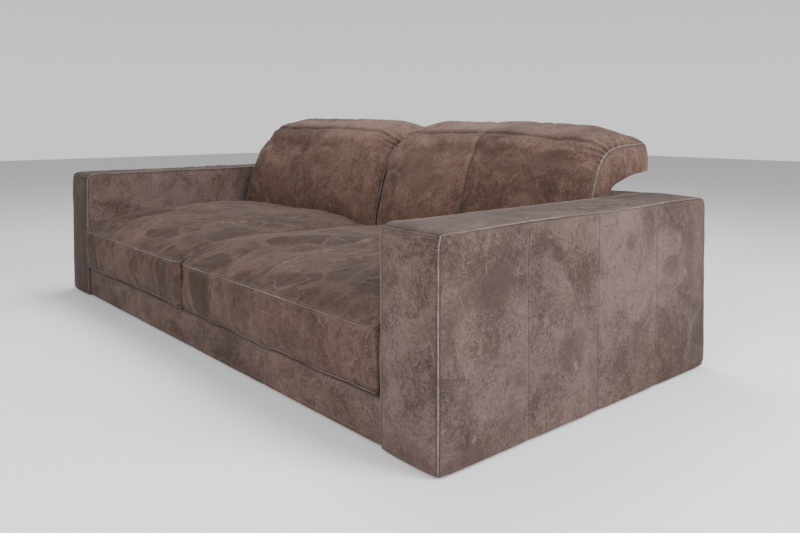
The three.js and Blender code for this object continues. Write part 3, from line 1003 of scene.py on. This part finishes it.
def make_arm(side):
    """One arm: its leather shell, its welts and its stitching."""
    low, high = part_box("arm_cover_" + side)
    sign = SIDES[side]
    outer, inner = (high[0], low[0]) if sign > 0 else (low[0], high[0])
    block = Block(low, high, corner=0.028, edge=0.0055, padding=0.004,
                  seams=[(1, y) for y in ARM_SEAMS], plain_side=inner)

    drawn = [([(outer - sign * 0.007, y), (outer - sign * 0.05, y - 0.06), (outer - sign * 0.12, y - 0.17)],
              0.0042, 0.008) for y in ARM_DRAWN_FOLDS]
    drawn += scattered_folds(
        seed=70 + sign, count=12, low=(low[0] + 0.04, -0.5), high=(high[0] - 0.04, 0.5), turn=(80, 25),
        height=(0.0008, 0.0022), width=(0.007, 0.012), length=(0.08, 0.22))
    side_folds = scattered_folds(
        seed=80 + sign, count=26, low=(-0.55, 0.08), high=(0.55, 0.5), turn=(70, 70),
        height=(0.0006, 0.0018), width=(0.006, 0.012), length=(0.06, 0.20))

    def folds(points):
        """Folds drawn towards the outer seam on the top, and slight ones down the sides."""
        out = np.zeros(len(points))
        top = points[:, 2] > high[2] - 0.008
        out[top] = folds_along(points[top][:, :2], drawn)
        for x in (outer, inner):
            face = ~top & (np.abs(points[:, 0] - x) < 0.012)
            out[face] = folds_along(points[face][:, 1:], side_folds)
        return out

    def patches(raw):
        """A darker top, low rear and swept marks. The left arm's front is dark, and its inside is painted paler as
        painted light.
        """
        top, face = on_plane(raw, 2, high[2]), on_plane(raw, 0, outer)
        swept = np.zeros(len(raw))
        for sweep in ARM_SWEEPS[side]:
            swept[face] = np.maximum(swept[face], blob(raw[face][:, 1:], *sweep))
        for sweep in ARM_TOP_SWEEPS:
            swept[top] = np.maximum(swept[top], blob(raw[top][:, :2] * (sign, 1), *sweep))
        low_rear = smooth((raw[:, 1] + 0.15) / 0.6) * smooth((0.42 - raw[:, 2]) / 0.35)
        tone = -np.where(top, 0.8 + 1.6 * swept, 0.6 * swept) - np.where(face, 1.1 * low_rear, 0.0)
        # Painted light: the left arm's inner face is made paler.
        if side == "left":
            front, within = on_plane(raw, 1, low[1]), on_plane(raw, 0, inner)
            tone = tone + np.where(front, -2.0, np.where(within, 0.6, 0.0))
        return tone, swept

    arm = block_piece("arm_leather_" + side, block, cell=0.016, kind="arm", seed=11 + sign, ripple=0.0016,
                      folds=folds, patches=patches)
    fasten(arm, BODY, ["arm_cover_" + side])

    outer_loop = edge_loop(block, outer, wave=0.0026)
    top_loop, front = outer_loop[UPRIGHT_POINTS - 1:], outer_loop[:UPRIGHT_POINTS]
    fasten(pipe("arm_welts_" + side, arm, [block.place(top_loop), block.place(edge_loop(block, inner))]))
    fasten(pipe("arm_front_welt_" + side, arm, [block.place(front)], radius=0.0021, lift=0.5, rubbed=0.7))

    gap = bpy.context.scene.sofa_seams.topstitch_gap
    rows = []
    for x in (outer, inner):
        towards = -1 if x == high[0] else 1
        rows.append(edge_loop(block, x + towards * gap))
        rows.append(edge_loop(block, x, inset=gap * 1.2, foot=0.012))
    for z in (high[2] - down for down in (0.006, 0.013, 0.030)):
        rows.append(np.linspace((low[0] + 0.010, low[1], z), (high[0] - 0.010, low[1], z), 30))
    for seam in ARM_SEAMS:
        for y in beside(seam, 0.0040):
            rows.append(np.linspace((outer, y, low[2] + 0.012), (outer, y, high[2] - 0.014), 60))
            rows.append(np.linspace((low[0] + 0.014, y, high[2]), (high[0] - 0.014, y, high[2]), 30))
    fasten(sew("arm_stitches_" + side, arm, [block.place(row) for row in rows]))


def make_back():
    """The leather over the back, between the arms."""
    low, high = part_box("back_cover")
    block = Block(low, high, corner=0.025, edge=0.008, padding=0.0045, seams=[(0, x) for x in BACK_SEAMS])
    loose = scattered_folds(
        seed=91, count=30, low=(-1.0, 0.08), high=(1.0, 0.5), turn=(75, 60),
        height=(0.0004, 0.0012), width=(0.006, 0.014), length=(0.08, 0.24))

    def folds(points):
        rear = points[:, 1] > high[1] - 0.012
        out = np.zeros(len(points))
        out[rear] = folds_along(points[rear][:, [0, 2]], loose)
        return out

    back = block_piece("back_leather", block, cell=0.034, kind="arm", seed=23, ripple=0.0018, folds=folds)
    fasten(back, BODY, ["back_cover"])

    left, right, rear, top = low[0] + 0.012, high[0] - 0.012, high[1], high[2]
    edge, below, ahead = (np.linspace((left, y, z), (right, y, z), 160)
                          for y, z in ((rear, top), (rear, top - 0.035), (rear - 0.035, top)))
    fasten(pipe("back_welts", back, [block.place(edge)]))
    rows = [below, ahead]
    for seam in BACK_SEAMS:
        for x in beside(seam, 0.0045):
            rows.append(np.linspace((x, rear, low[2] + 0.012), (x, rear, top - 0.03), 60))
            rows.append(np.linspace((x, low[1] + 0.02, top), (x, rear - 0.03, top), 24))
    fasten(sew("back_stitches", back, [block.place(row) for row in rows]))


def make_base():
    """The leather front of the base, in four sewn lengths, with painted shadow along its top below the seats."""
    low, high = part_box("base_front_cover")
    block = Block(low, high, corner=0.006, edge=0.005, padding=0.0025, seams=[(0, x) for x in BASE_SEAMS])
    base = block_piece("base_leather", block, cell=0.024, kind="base", seed=31, ripple=0.0012,
                       open_below=False)
    # Painted shadow: the top strip of the base, under the seats' overhang, is darkened.
    add_paint(base, "crease", smooth((vectors(base, "co")[:, 2] - high[2] + 0.018) / 0.012))
    fasten(base, BODY, ["base_front_cover"])
    front, bottom, top = low[1], low[2], high[2]
    rows = [np.linspace((x, front, bottom + 0.01), (x, front, top - 0.01), 24)
            for seam in BASE_SEAMS for x in beside(seam, 0.0045)]
    rows += [np.linspace((low[0] + 0.01, front, z), (high[0] - 0.01, front, z), 160)
             for z in (bottom + 0.012, top - 0.012)]
    fasten(sew("base_stitches", base, [block.place(row) for row in rows]))


# ---------------------------------------------------------------- seat cushions


# The top of a seat cushion and the side that it rests on, from front to rear, across (Y, Z).
SEAT_FACE = [(-0.640, 0.315), (-0.35, 0.315), (-0.06, 0.315), (0.232, 0.315)]
SEAT_REST = [(-0.622, 0.146), (-0.34, 0.146), (-0.05, 0.146), (0.232, 0.146)]


def seat_swell(u, s):
    """Rises fast from the front seam, and falls slowly towards the back and the sides."""
    crest, crown = 0.45, 0.104
    rise = 1 - np.clip(1 - s / crest, 0, 1) ** 3
    fall = 0.2 * np.clip((s - crest) / (1 - crest), 0, 1) ** 2
    return crown * (rise - fall) * (1 - 0.35 * np.abs(u) ** 3)


def finish_leather(piece, seed, broad, fine, wrinkles):
    """Subdivides a cushion and lays its wrinkles along the surface normals."""
    subdivide(piece)
    points, up = vectors(piece, "co"), vectors(piece, "normal")
    move = broad * waves(points, 0.22, seed) + fine * waves(points, 0.07, seed + 1)
    fold = wrinkles(points)
    move = move + 0.35 * fine * waves(points, 0.028, seed + 2) + fold
    set_coordinates(piece, points + up * move[:, None])
    rub_folds(piece, fold)


# Folds on the seats, across (X, Y), with their heights and widths.
SEAT_FOLDS = {
    "left": [([(-0.33, -0.62), (-0.29, -0.47), (-0.21, -0.31), (-0.09, -0.12)], 0.0052, 0.014),
             ([(-0.62, -0.42), (-0.42, -0.38), (-0.26, -0.20), (-0.12, 0.02)], 0.0044, 0.012),
             ([(-0.90, -0.50), (-0.80, -0.36), (-0.66, -0.18), (-0.48, 0.0)], 0.0040, 0.014)],
    "right": [([(0.508, -0.632), (0.475, -0.58), (0.468, -0.51), (0.506, -0.40), (0.56, -0.31)],
               0.0085, 0.010),
              ([(0.50, -0.37), (0.55, -0.26), (0.60, -0.13), (0.68, 0.02)], 0.0070, 0.012),
              ([(0.60, -0.47), (0.67, -0.40), (0.72, -0.31), (0.80, -0.18)], 0.0058, 0.012),
              ([(0.525, -0.52), (0.513, -0.55), (0.498, -0.60)], 0.0044, 0.007),
              ([(0.20, -0.30), (0.30, -0.18), (0.38, -0.04)], 0.0044, 0.014)],
}

# Darker swept marks on the seats, across (X, Y): centre, size and turn in degrees.
SEAT_SWEEPS = {
    "left": [((-0.43, -0.52), (0.13, 0.05), 12), ((-0.19, -0.64), (0.06, 0.07), 0),
             ((-0.10, -0.45), (0.05, 0.15), -8), ((-0.86, -0.42), (0.10, 0.16), -20),
             ((-0.60, -0.10), (0.22, 0.06), 30), ((-0.95, -0.64), (0.06, 0.05), 0)],
    "right": [((0.14, -0.62), (0.09, 0.06), 0), ((0.60, -0.57), (0.11, 0.05), 10),
              ((0.94, -0.46), (0.15, 0.14), 0), ((0.30, -0.36), (0.13, 0.07), 40),
              ((0.70, -0.10), (0.20, 0.06), 45)],
}


def seat_settle(low, high):
    """How a seat gives way: its front bulges, its front corners are round, and beside the middle
    it leans over to the left."""
    middle, half = (low[0] + high[0]) / 2, (high[0] - low[0]) / 2 - 0.002
    radius, ease = 0.034, 0.009

    def settle(raw, points):
        u, s, t = raw.T
        x, y, z = points.T
        front = smooth(1 - s / 0.07)
        bulge = np.sin(math.pi * np.clip(t, 0, 1))
        y = y - front * (ease + 0.012 * bulge * (1 - np.abs(u) ** 6))
        x = x + np.sign(u) * 0.0035 * smooth((np.abs(u) - 0.97) / 0.03) * bulge
        edge = low[1] - ease + radius
        a = np.maximum(np.abs(x - middle) - (half - radius), 0)
        b = np.maximum(edge - y, 0)
        pull = rounding(a, b)
        x = np.where(a > 0, middle + np.sign(x - middle) * (half - radius + a * pull), x)
        y = np.where(b > 0, edge - b * pull, y)
        lean = 0.045 * smooth((-0.05 - y) / 0.55) * (1 - smooth(np.abs(x) / 0.55))
        return np.column_stack([x - lean, y, z])

    return settle


def make_seat(side):
    """One seat cushion: leather filled by cloth simulation, then its seams and stitches."""
    low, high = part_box("seat_cover_" + side)
    sign = SIDES[side]
    width = high[0] - low[0]
    cushion = Cushion((low[0] + 0.002, high[0] - 0.002), SEAT_REST, SEAT_FACE, seat_swell,
                      cell=0.0132, settle=seat_settle(low, high))
    raw, faces = cushion.grid()
    placed = cushion.place(raw)
    seat = new_object("seat_leather_" + side, placed, faces, [leather("seat")])
    u, s, t = raw.T
    seam_gaps = [np.abs(1 - t) * cushion.depth, s * cushion.length, (1 - np.abs(u)) * width / 2]
    near_seam = np.sort(np.stack(seam_gaps, axis=1), axis=1)[:, 1]
    paint(seat, "tone", np.where(s < TINY, 0.1, -0.25))
    paint(seat, "swept", np.max([blob(placed[:, :2], *sweep) for sweep in SEAT_SWEEPS[side]], axis=0))
    paint(seat, "wear_and_highlight", peak(near_seam, 0.008) * 0.6)
    # Painted shadow along the bottom of the seat's front, over the base, and painted shade in the grooves beside
    # the seams.
    under = peak(t * cushion.depth, 0.010) * (s < 0.05)
    paint(seat, "crease", np.clip(peak(near_seam - 0.004, 0.0032) * 0.7 + 0.8 * under, 0, 1))
    held_inside = (t < TINY) | (s > 1 - TINY) | ((np.abs(u) > 1 - TINY) & (t < 0.999))
    inflate(seat, seam_weights(raw, held_inside), bpy.context.scene.sofa_cushions)
    loose = SEAT_FOLDS[side] + scattered_folds(
        seed=50 + sign, count=26, low=(low[0] + 0.10, -0.52), high=(high[0] - 0.10, 0.16), turn=(50, 24),
        height=(0.0012, 0.0042), width=(0.007, 0.015), length=(0.10, 0.30))
    upright = scattered_folds(
        seed=55 + sign, count=16, low=(low[0] + 0.06, 0.19), high=(high[0] - 0.06, 0.29), turn=(88, 18),
        height=(0.0010, 0.0026), width=(0.006, 0.014), length=(0.05, 0.11))

    def wrinkles(points):
        """Folds across the top, upright ones down the front and creases fanning from the corners."""
        depth = points[:, 1] - low[1]
        top = smooth((points[:, 2] - 0.312) / 0.01) * smooth(depth / 0.01)
        front = depth < 0.01
        out = top * folds_along(points[:, :2], loose)
        out[front] += folds_along(points[front][:, [0, 2]], upright)
        gap = np.minimum(points[:, 0] - low[0], high[0] - points[:, 0])
        corner = np.exp(-np.hypot(gap, depth) / 0.09) * top
        fan = np.sin(np.arctan2(depth + 0.01, gap + 0.01) * 19 + sign + 9 * np.hypot(gap, depth))
        return out + 0.0032 * corner * fan

    finish_leather(seat, seed=40 + 3 * sign, broad=0.0050, fine=0.0015, wrinkles=wrinkles)
    fasten(seat, BODY, ["seat_cover_" + side, "seat_foam_" + side])

    across = np.linspace(-0.995, 0.995, 130)
    back = np.linspace(0.0, 0.97, 90)
    edges = [cushion.row(across, 0.0, t) for t in (0.0, 1.0)]
    edges += [cushion.row(end, back, 1.0) for end in (-1.0, 1.0)]
    fasten(pipe("seat_welts_" + side, seat, edges, radius=0.0016, rubbed=0.1))
    gap = bpy.context.scene.sofa_seams.topstitch_gap
    beyond, above = gap * 1.3 / cushion.length, gap * 1.3 / cushion.depth
    rows = [cushion.row(across * 0.985, s, t) for s, t in ((beyond, 1.0), (0.0, 1 - above), (0.0, above))]
    rows += [cushion.row(end * (1 - 2.6 * gap / width), back, 1.0) for end in (-1, 1)]
    fasten(sew("seat_stitches_" + side, seat, rows))


# ---------------------------------------------------------------- back cushions and headrests


# The face of a back cushion and its headrest, and the side that rests on the back, across (Y, Z).
CUSHION_FACE = [(0.246, 0.152), (0.244, 0.300), (0.252, 0.410), (0.281, 0.525), (0.309, 0.612),
                (0.334, 0.673), (0.371, 0.717), (0.420, 0.738), (0.480, 0.748), (0.560, 0.754),
                (0.640, 0.757)]
CUSHION_REST = [(0.396, 0.152), (0.396, 0.290), (0.396, 0.400), (0.396, 0.490), (0.397, 0.545),
                (0.402, 0.578), (0.412, 0.594), (0.434, 0.610), (0.480, 0.624), (0.560, 0.641),
                (0.645, 0.653)]
# Round the hinge, in degrees: where the crease lies, and the middle of the pleats.
CREASE_ANGLE = 118
PLEATS_ANGLE = 115


def cushion_swell(u, s):
    """The crown of the back cushion and its headrest, with the crease where they bend."""
    side = 1 - np.abs(u) ** 8
    lower = 0.030 * smooth((s - 0.10) / 0.20)
    upper = 0.050 * smooth((s - 0.50) / 0.14) * (1 - 0.55 * smooth((s - 0.80) / 0.2))
    return side * (lower + upper)


def bend_crease(points, hinge):
    """A shallow valley across the cushion, in line with its hinge, that fades before the seams."""
    ahead = np.column_stack([points[:, 1] - hinge[1], points[:, 2] - hinge[2]])
    angle = np.arctan2(ahead[:, 1], ahead[:, 0])
    distance = (angle - math.radians(CREASE_ANGLE)) * 0.16
    outside = smooth((np.linalg.norm(ahead, axis=1) - 0.07) / 0.03)
    return -(0.0075 * peak(distance, 0.009) + 0.004 * peak(distance, 0.03)) * outside


# Darker swept marks on the fronts of the back cushions, across (X, Z): centre, size and turn in degrees.
CUSHION_SWEEPS = {
    "left": [((-0.86, 0.50), (0.11, 0.13), 0), ((-0.42, 0.66), (0.17, 0.05), 0),
             ((-0.35, 0.42), (0.12, 0.06), 20)],
    "right": [((0.22, 0.64), (0.12, 0.10), 0), ((0.74, 0.70), (0.16, 0.06), 0),
              ((0.55, 0.42), (0.16, 0.07), 10)],
}


def cushion_settle(raw, points):
    """Rounds the upper rear edge of a headrest, and puffs out its ends a little."""
    u, s, t = raw.T
    x, y, z = points.T
    end = smooth((s - 0.978) / 0.022)
    bulge = np.sin(math.pi * np.clip(t, 0, 1))
    z = z - np.clip(t - 0.5, 0, 0.5) * 0.024 * end ** 2
    y = y + 0.006 * bulge * end
    x = x + np.sign(u) * 0.0055 * smooth((np.abs(u) - 0.97) / 0.03) * bulge * smooth((1 - s) / 0.04)
    return np.column_stack([x, y, z])


def make_back_cushion(side):
    """One back cushion with its headrest: one leather cover that bends over the hinge."""
    sign = SIDES[side]
    head = "headrest_" + side
    low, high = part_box("back_cushion_cover_" + side)
    width = high[0] - low[0]
    panel = (low[0] + high[0]) / 2 + (-0.01 if side == "right" else -0.08)
    joint = next(j for j in frame["joints"] if j["child"] == head)
    hinge = Vector(joint["pos_m"])
    lift, droop, foot = (0.012, 0.0, 0.034) if side == "left" else (0.0, 0.012, 0.0)

    def swell(u, s):
        """The left cushion is fuller above and its outer foot comes forward. The right one is
        flatter towards its outer end."""
        upper = smooth((s - 0.45) / 0.2)
        flatter = droop * smooth((u - 0.30) / 0.35) * (1 - smooth((u - 0.80) / 0.20))
        out = cushion_swell(u, s) + upper * (lift * (1 - u ** 4) - flatter)
        return out + foot * smooth((-0.45 - u) / 0.5) * (1 - smooth((s - 0.25) / 0.60))

    cushion = Cushion((low[0] + 0.003, high[0] - 0.003), CUSHION_REST, CUSHION_FACE, swell,
                      cell=0.0142, settle=cushion_settle)
    raw, faces = cushion.grid()
    placed = cushion.place(raw)
    cover = new_object("back_cushion_leather_" + side, placed, faces, [leather("back")])
    u, s, t = raw.T
    x = placed[:, 0]
    near_seam = np.maximum((1 - np.abs(u)) * width / 2, np.abs(1 - t) * cushion.depth)
    panel_seam = np.where(t > 0.999, np.abs(x - panel), FAR)
    swept = np.max([blob(placed[:, [0, 2]], *sweep) for sweep in CUSHION_SWEEPS[side]], axis=0) * (t > 0.5)
    wear_and_highlight = 0.8 * peak(near_seam, 0.009) + 0.7 * peak(panel_seam - 0.007, 0.005)
    # Painted shade in the grooves beside the end seams and along the panel seam.
    groove_shade = 0.8 * peak(near_seam - 0.005, 0.004) + 0.6 * peak(panel_seam, 0.004)
    # The upper part, over the headrest, is painted lighter as painted light; the two sides of the panel seam
    # differ in tone.
    paint(cover, "tone", np.where(x > panel, -0.3, 0.3) * sign + 0.4 * smooth((s - 0.50) / 0.30))
    paint(cover, "swept", swept)
    paint(cover, "wear_and_highlight", np.clip(wear_and_highlight, 0, 1))
    paint(cover, "crease", np.clip(groove_shade, 0, 1))
    held_inside = (t < TINY) | (s < 0.12) | (np.abs(u) > 1 - TINY)
    inflate(cover, seam_weights(raw, held_inside), bpy.context.scene.sofa_cushions)

    loose = scattered_folds(
        seed=95 + sign, count=26, low=(low[0] + 0.08, 0.33), high=(high[0] - 0.08, 0.72), turn=(35, 50),
        height=(0.0008, 0.0028), width=(0.006, 0.013), length=(0.08, 0.22))

    def wrinkles(points):
        """Pleats drawn into the end seams near the bend, the crease across it, and the panel seam."""
        gap = np.minimum(points[:, 0] - low[0], high[0] - points[:, 0])
        ahead = points[:, 1:] - np.array(hinge)[1:]
        around = np.arctan2(ahead[:, 1], ahead[:, 0])
        bend = peak(around - math.radians(PLEATS_ANGLE), 0.85)
        reach = np.exp(-gap / (0.050 + 0.012 * waves(points, 0.05, 77)))
        pleat = np.sin(around * 24 + 2.6 * waves(points, 0.06, 78)) * reach * smooth(gap / 0.008)
        gusset = np.sin(around * 25 + 2.0 * np.sin(np.hypot(*ahead.T) * 30)) * smooth((0.003 - gap) / 0.004)
        fade = 0.35 + 0.65 * smooth(gap / 0.12)
        front = smooth((0.5 * (points[:, 2] - 0.60) - (points[:, 1] - 0.40)) / 0.04)
        seam = -0.0036 * peak(points[:, 0] - panel, 0.005)
        out = (0.0058 * pleat + 0.0022 * gusset) * bend + bend_crease(points, hinge) * fade
        return out + front * (seam + folds_along(points[:, [0, 2]], loose))

    finish_leather(cover, seed=60 + 5 * sign, broad=0.0042, fine=0.0018, wrinkles=wrinkles)
    soft_nodes = ("back_cushion_cover_", "back_cushion_foam_", "headrest_cover_", "headrest_foam_")
    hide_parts(*(node + side for node in soft_nodes))

    run = np.linspace(0.16, 0.985, 150)
    gap = bpy.context.scene.sofa_seams.topstitch_gap
    edges = [cushion.row(end, run, 1.0) for end in (-1.0, 1.0)]
    welts = pipe("back_cushion_welts_" + side, cover, edges, radius=0.0018, rubbed=0.6)
    rows = [cushion.row(end * (1 - 2.6 * gap / width), run, 1.0) for end in (-1.0, 1.0)]
    rows += [cushion.row(end, run, 1 - 1.4 * gap / cushion.depth) for end in (-1.0, 1.0)]
    rows += [cushion.row(2 * (x - low[0]) / width - 1, run, 1.0) for x in beside(panel, 0.005)]
    rows.append(cushion.row(np.linspace(-0.97, 0.97, 110), 0.98, 1.0))
    stitching = sew("back_cushion_stitches_" + side, cover, rows)

    for piece in (cover, welts, stitching):
        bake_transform(piece)


# ---------------------------------------------------------------- frame finishes, stage


def finish_frame():
    """Gives every frame part that stays in view its own finish."""
    makers = {
        "plywood": plywood_material, "foam": foam_material, "webbing": webbing_material,
        "dust_cloth": dust_cloth_material, "plated_steel": steel_material, "black_plastic": plastic_material,
    }
    slots = {p["node"]: p["material_slot"] for p in frame["record"]["subparts"]}
    for name, node in frame["nodes"].items():
        slot = slots[name]
        if slot == LEATHER_SLOT:
            continue
        node.data.materials.clear()
        node.data.materials.append(material(slot, makers[slot]))


CAMERA = {"lens": 33.49, "sensor_width": 36, "shift_x": 0.0108, "shift_y": -0.1467, "clip_end": 100}
CAMERA_PLACE = (2.5212, -1.8049, 0.840)
CAMERA_TURN = (90 - 2.2866, 0, 49.6255)
FLOOR_HALF = 14
# The world's brightness by height: where the change starts and ends, and its strength at each.
WORLD = {"From Min": 0.06, "From Max": 0.45, "To Min": 0.95, "To Max": 0.50}
# Place, target, size in metres and power in watts.
LIGHTS = {
    "side_light": ((4.2, 0.9, 2.4), (1.2, 0, 0.3), 1.9, 225),
    "front_light": ((1.8, -4.3, 2.9), (0.4, 0, 0.3), 2.0, 210),
    "top_light": ((-1.2, 1.2, 4.2), (-0.2, 0, 0.4), 2.6, 160),
}


def add_light(name, location, target, size, power):
    light = bpy.data.lights.new(name, "AREA")
    light.shape = "SQUARE"
    light.size = size
    light.energy = power
    lamp = bpy.data.objects.new(name, light)
    lamp.location = location
    lamp.rotation_euler = (Vector(target) - Vector(location)).to_track_quat("-Z", "Y").to_euler()
    bpy.context.scene.collection.objects.link(lamp)


def make_stage():
    """The camera, a plain pale floor and soft studio light."""
    camera = bpy.data.cameras.new("camera")
    for key, value in CAMERA.items():
        setattr(camera, key, value)
    eye = bpy.data.objects.new("camera", camera)
    eye.location = CAMERA_PLACE
    eye.rotation_euler = [math.radians(turn) for turn in CAMERA_TURN]
    bpy.context.scene.collection.objects.link(eye)
    bpy.context.scene.camera = eye

    corners = [(x * FLOOR_HALF, y * FLOOR_HALF, 0) for x, y in ((-1, -1), (1, -1), (1, 1), (-1, 1))]
    n = Nodes("pale_floor")
    pale = n.mix(n.noise(1.2, 3), (0.80, 0.80, 0.80), (0.84, 0.84, 0.84))
    new_object("floor", corners, [[0, 1, 2, 3]], [n.finish(pale, 0.7)])

    world = bpy.data.worlds.new("studio")
    world.use_nodes = True
    tree = world.node_tree
    place = tree.nodes.new("ShaderNodeTexCoord").outputs["Generated"]
    height = tree.nodes.new("ShaderNodeSeparateXYZ")
    glow = tree.nodes.new("ShaderNodeMapRange")
    for socket, value in WORLD.items():
        glow.inputs[socket].default_value = value
    tree.links.new(place, height.inputs[0])
    tree.links.new(height.outputs["Z"], glow.inputs["Value"])
    tree.links.new(glow.outputs[0], tree.nodes["Background"].inputs["Strength"])
    tree.nodes["Background"].inputs["Color"].default_value = (1, 1, 1, 1)
    bpy.context.scene.world = world
    for name, light in LIGHTS.items():
        add_light(name, *light)


# ---------------------------------------------------------------- operators


class Builder(bpy.types.Operator):
    """Shared behaviour of the sofa's operators"""

    bl_options = {"REGISTER"}

    def execute(self, context):
        self.build(context)
        return {"FINISHED"}


class SOFA_OT_stage(Builder):
    """Add the camera, the floor and the lights"""

    bl_idname = "sofa.stage"
    bl_label = "Stage"

    def build(self, context):
        make_stage()


class SOFA_OT_arms(Builder):
    """Cover both arms in leather patches, with welts and stitching"""

    bl_idname = "sofa.arms"
    bl_label = "Arms"

    def build(self, context):
        for side in SIDES:
            make_arm(side)


class SOFA_OT_back(Builder):
    """Cover the back in leather"""

    bl_idname = "sofa.back"
    bl_label = "Back"

    def build(self, context):
        make_back()


class SOFA_OT_base(Builder):
    """Cover the front of the base in leather"""

    bl_idname = "sofa.base"
    bl_label = "Base front"

    def build(self, context):
        make_base()


class SOFA_OT_seats(Builder):
    """Fill and sew both seat cushions"""

    bl_idname = "sofa.seats"
    bl_label = "Seat cushions"

    def build(self, context):
        for side in SIDES:
            make_seat(side)


class SOFA_OT_back_cushions(Builder):
    """Fill and sew both back cushions with their headrests"""

    bl_idname = "sofa.back_cushions"
    bl_label = "Back cushions and headrests"

    def build(self, context):
        for side in SIDES:
            make_back_cushion(side)


class SOFA_OT_frame_finishes(Builder):
    """Finish the boards, foam, webbing, fittings and feet"""

    bl_idname = "sofa.frame_finishes"
    bl_label = "Frame finishes"

    def build(self, context):
        finish_frame()


OPERATORS = (SOFA_OT_stage, SOFA_OT_arms, SOFA_OT_back, SOFA_OT_base, SOFA_OT_seats,
             SOFA_OT_back_cushions, SOFA_OT_frame_finishes)
PROPERTIES = {
    "sofa_leather": LeatherProperties,
    "sofa_seams": SeamProperties,
    "sofa_cushions": CushionProperties,
}


class SOFA_PT_panel(bpy.types.Panel):
    """The sofa's sizes, colours and steps, in the sidebar"""

    bl_idname = "SOFA_PT_panel"
    bl_label = "Worn leather sofa"
    bl_space_type = "VIEW_3D"
    bl_region_type = "UI"
    bl_category = "Sofa"

    def draw(self, context):
        layout = self.layout
        for name, group in PROPERTIES.items():
            box = layout.box()
            for key in group.__annotations__:
                box.prop(getattr(context.scene, name), key)
        for operator in OPERATORS:
            layout.operator(operator.bl_idname)


CLASSES = (*PROPERTIES.values(), *OPERATORS, SOFA_PT_panel)


def register():
    for cls in CLASSES:
        bpy.utils.register_class(cls)
    for name, group in PROPERTIES.items():
        setattr(bpy.types.Scene, name, PointerProperty(type=group))


def unregister():
    for name in PROPERTIES:
        delattr(bpy.types.Scene, name)
    for cls in reversed(CLASSES):
        bpy.utils.unregister_class(cls)


def main():
    register()
    for operator in OPERATORS:
        group, name = operator.bl_idname.split(".")
        getattr(getattr(bpy.ops, group), name)()


if __name__ == "__main__":
    main()
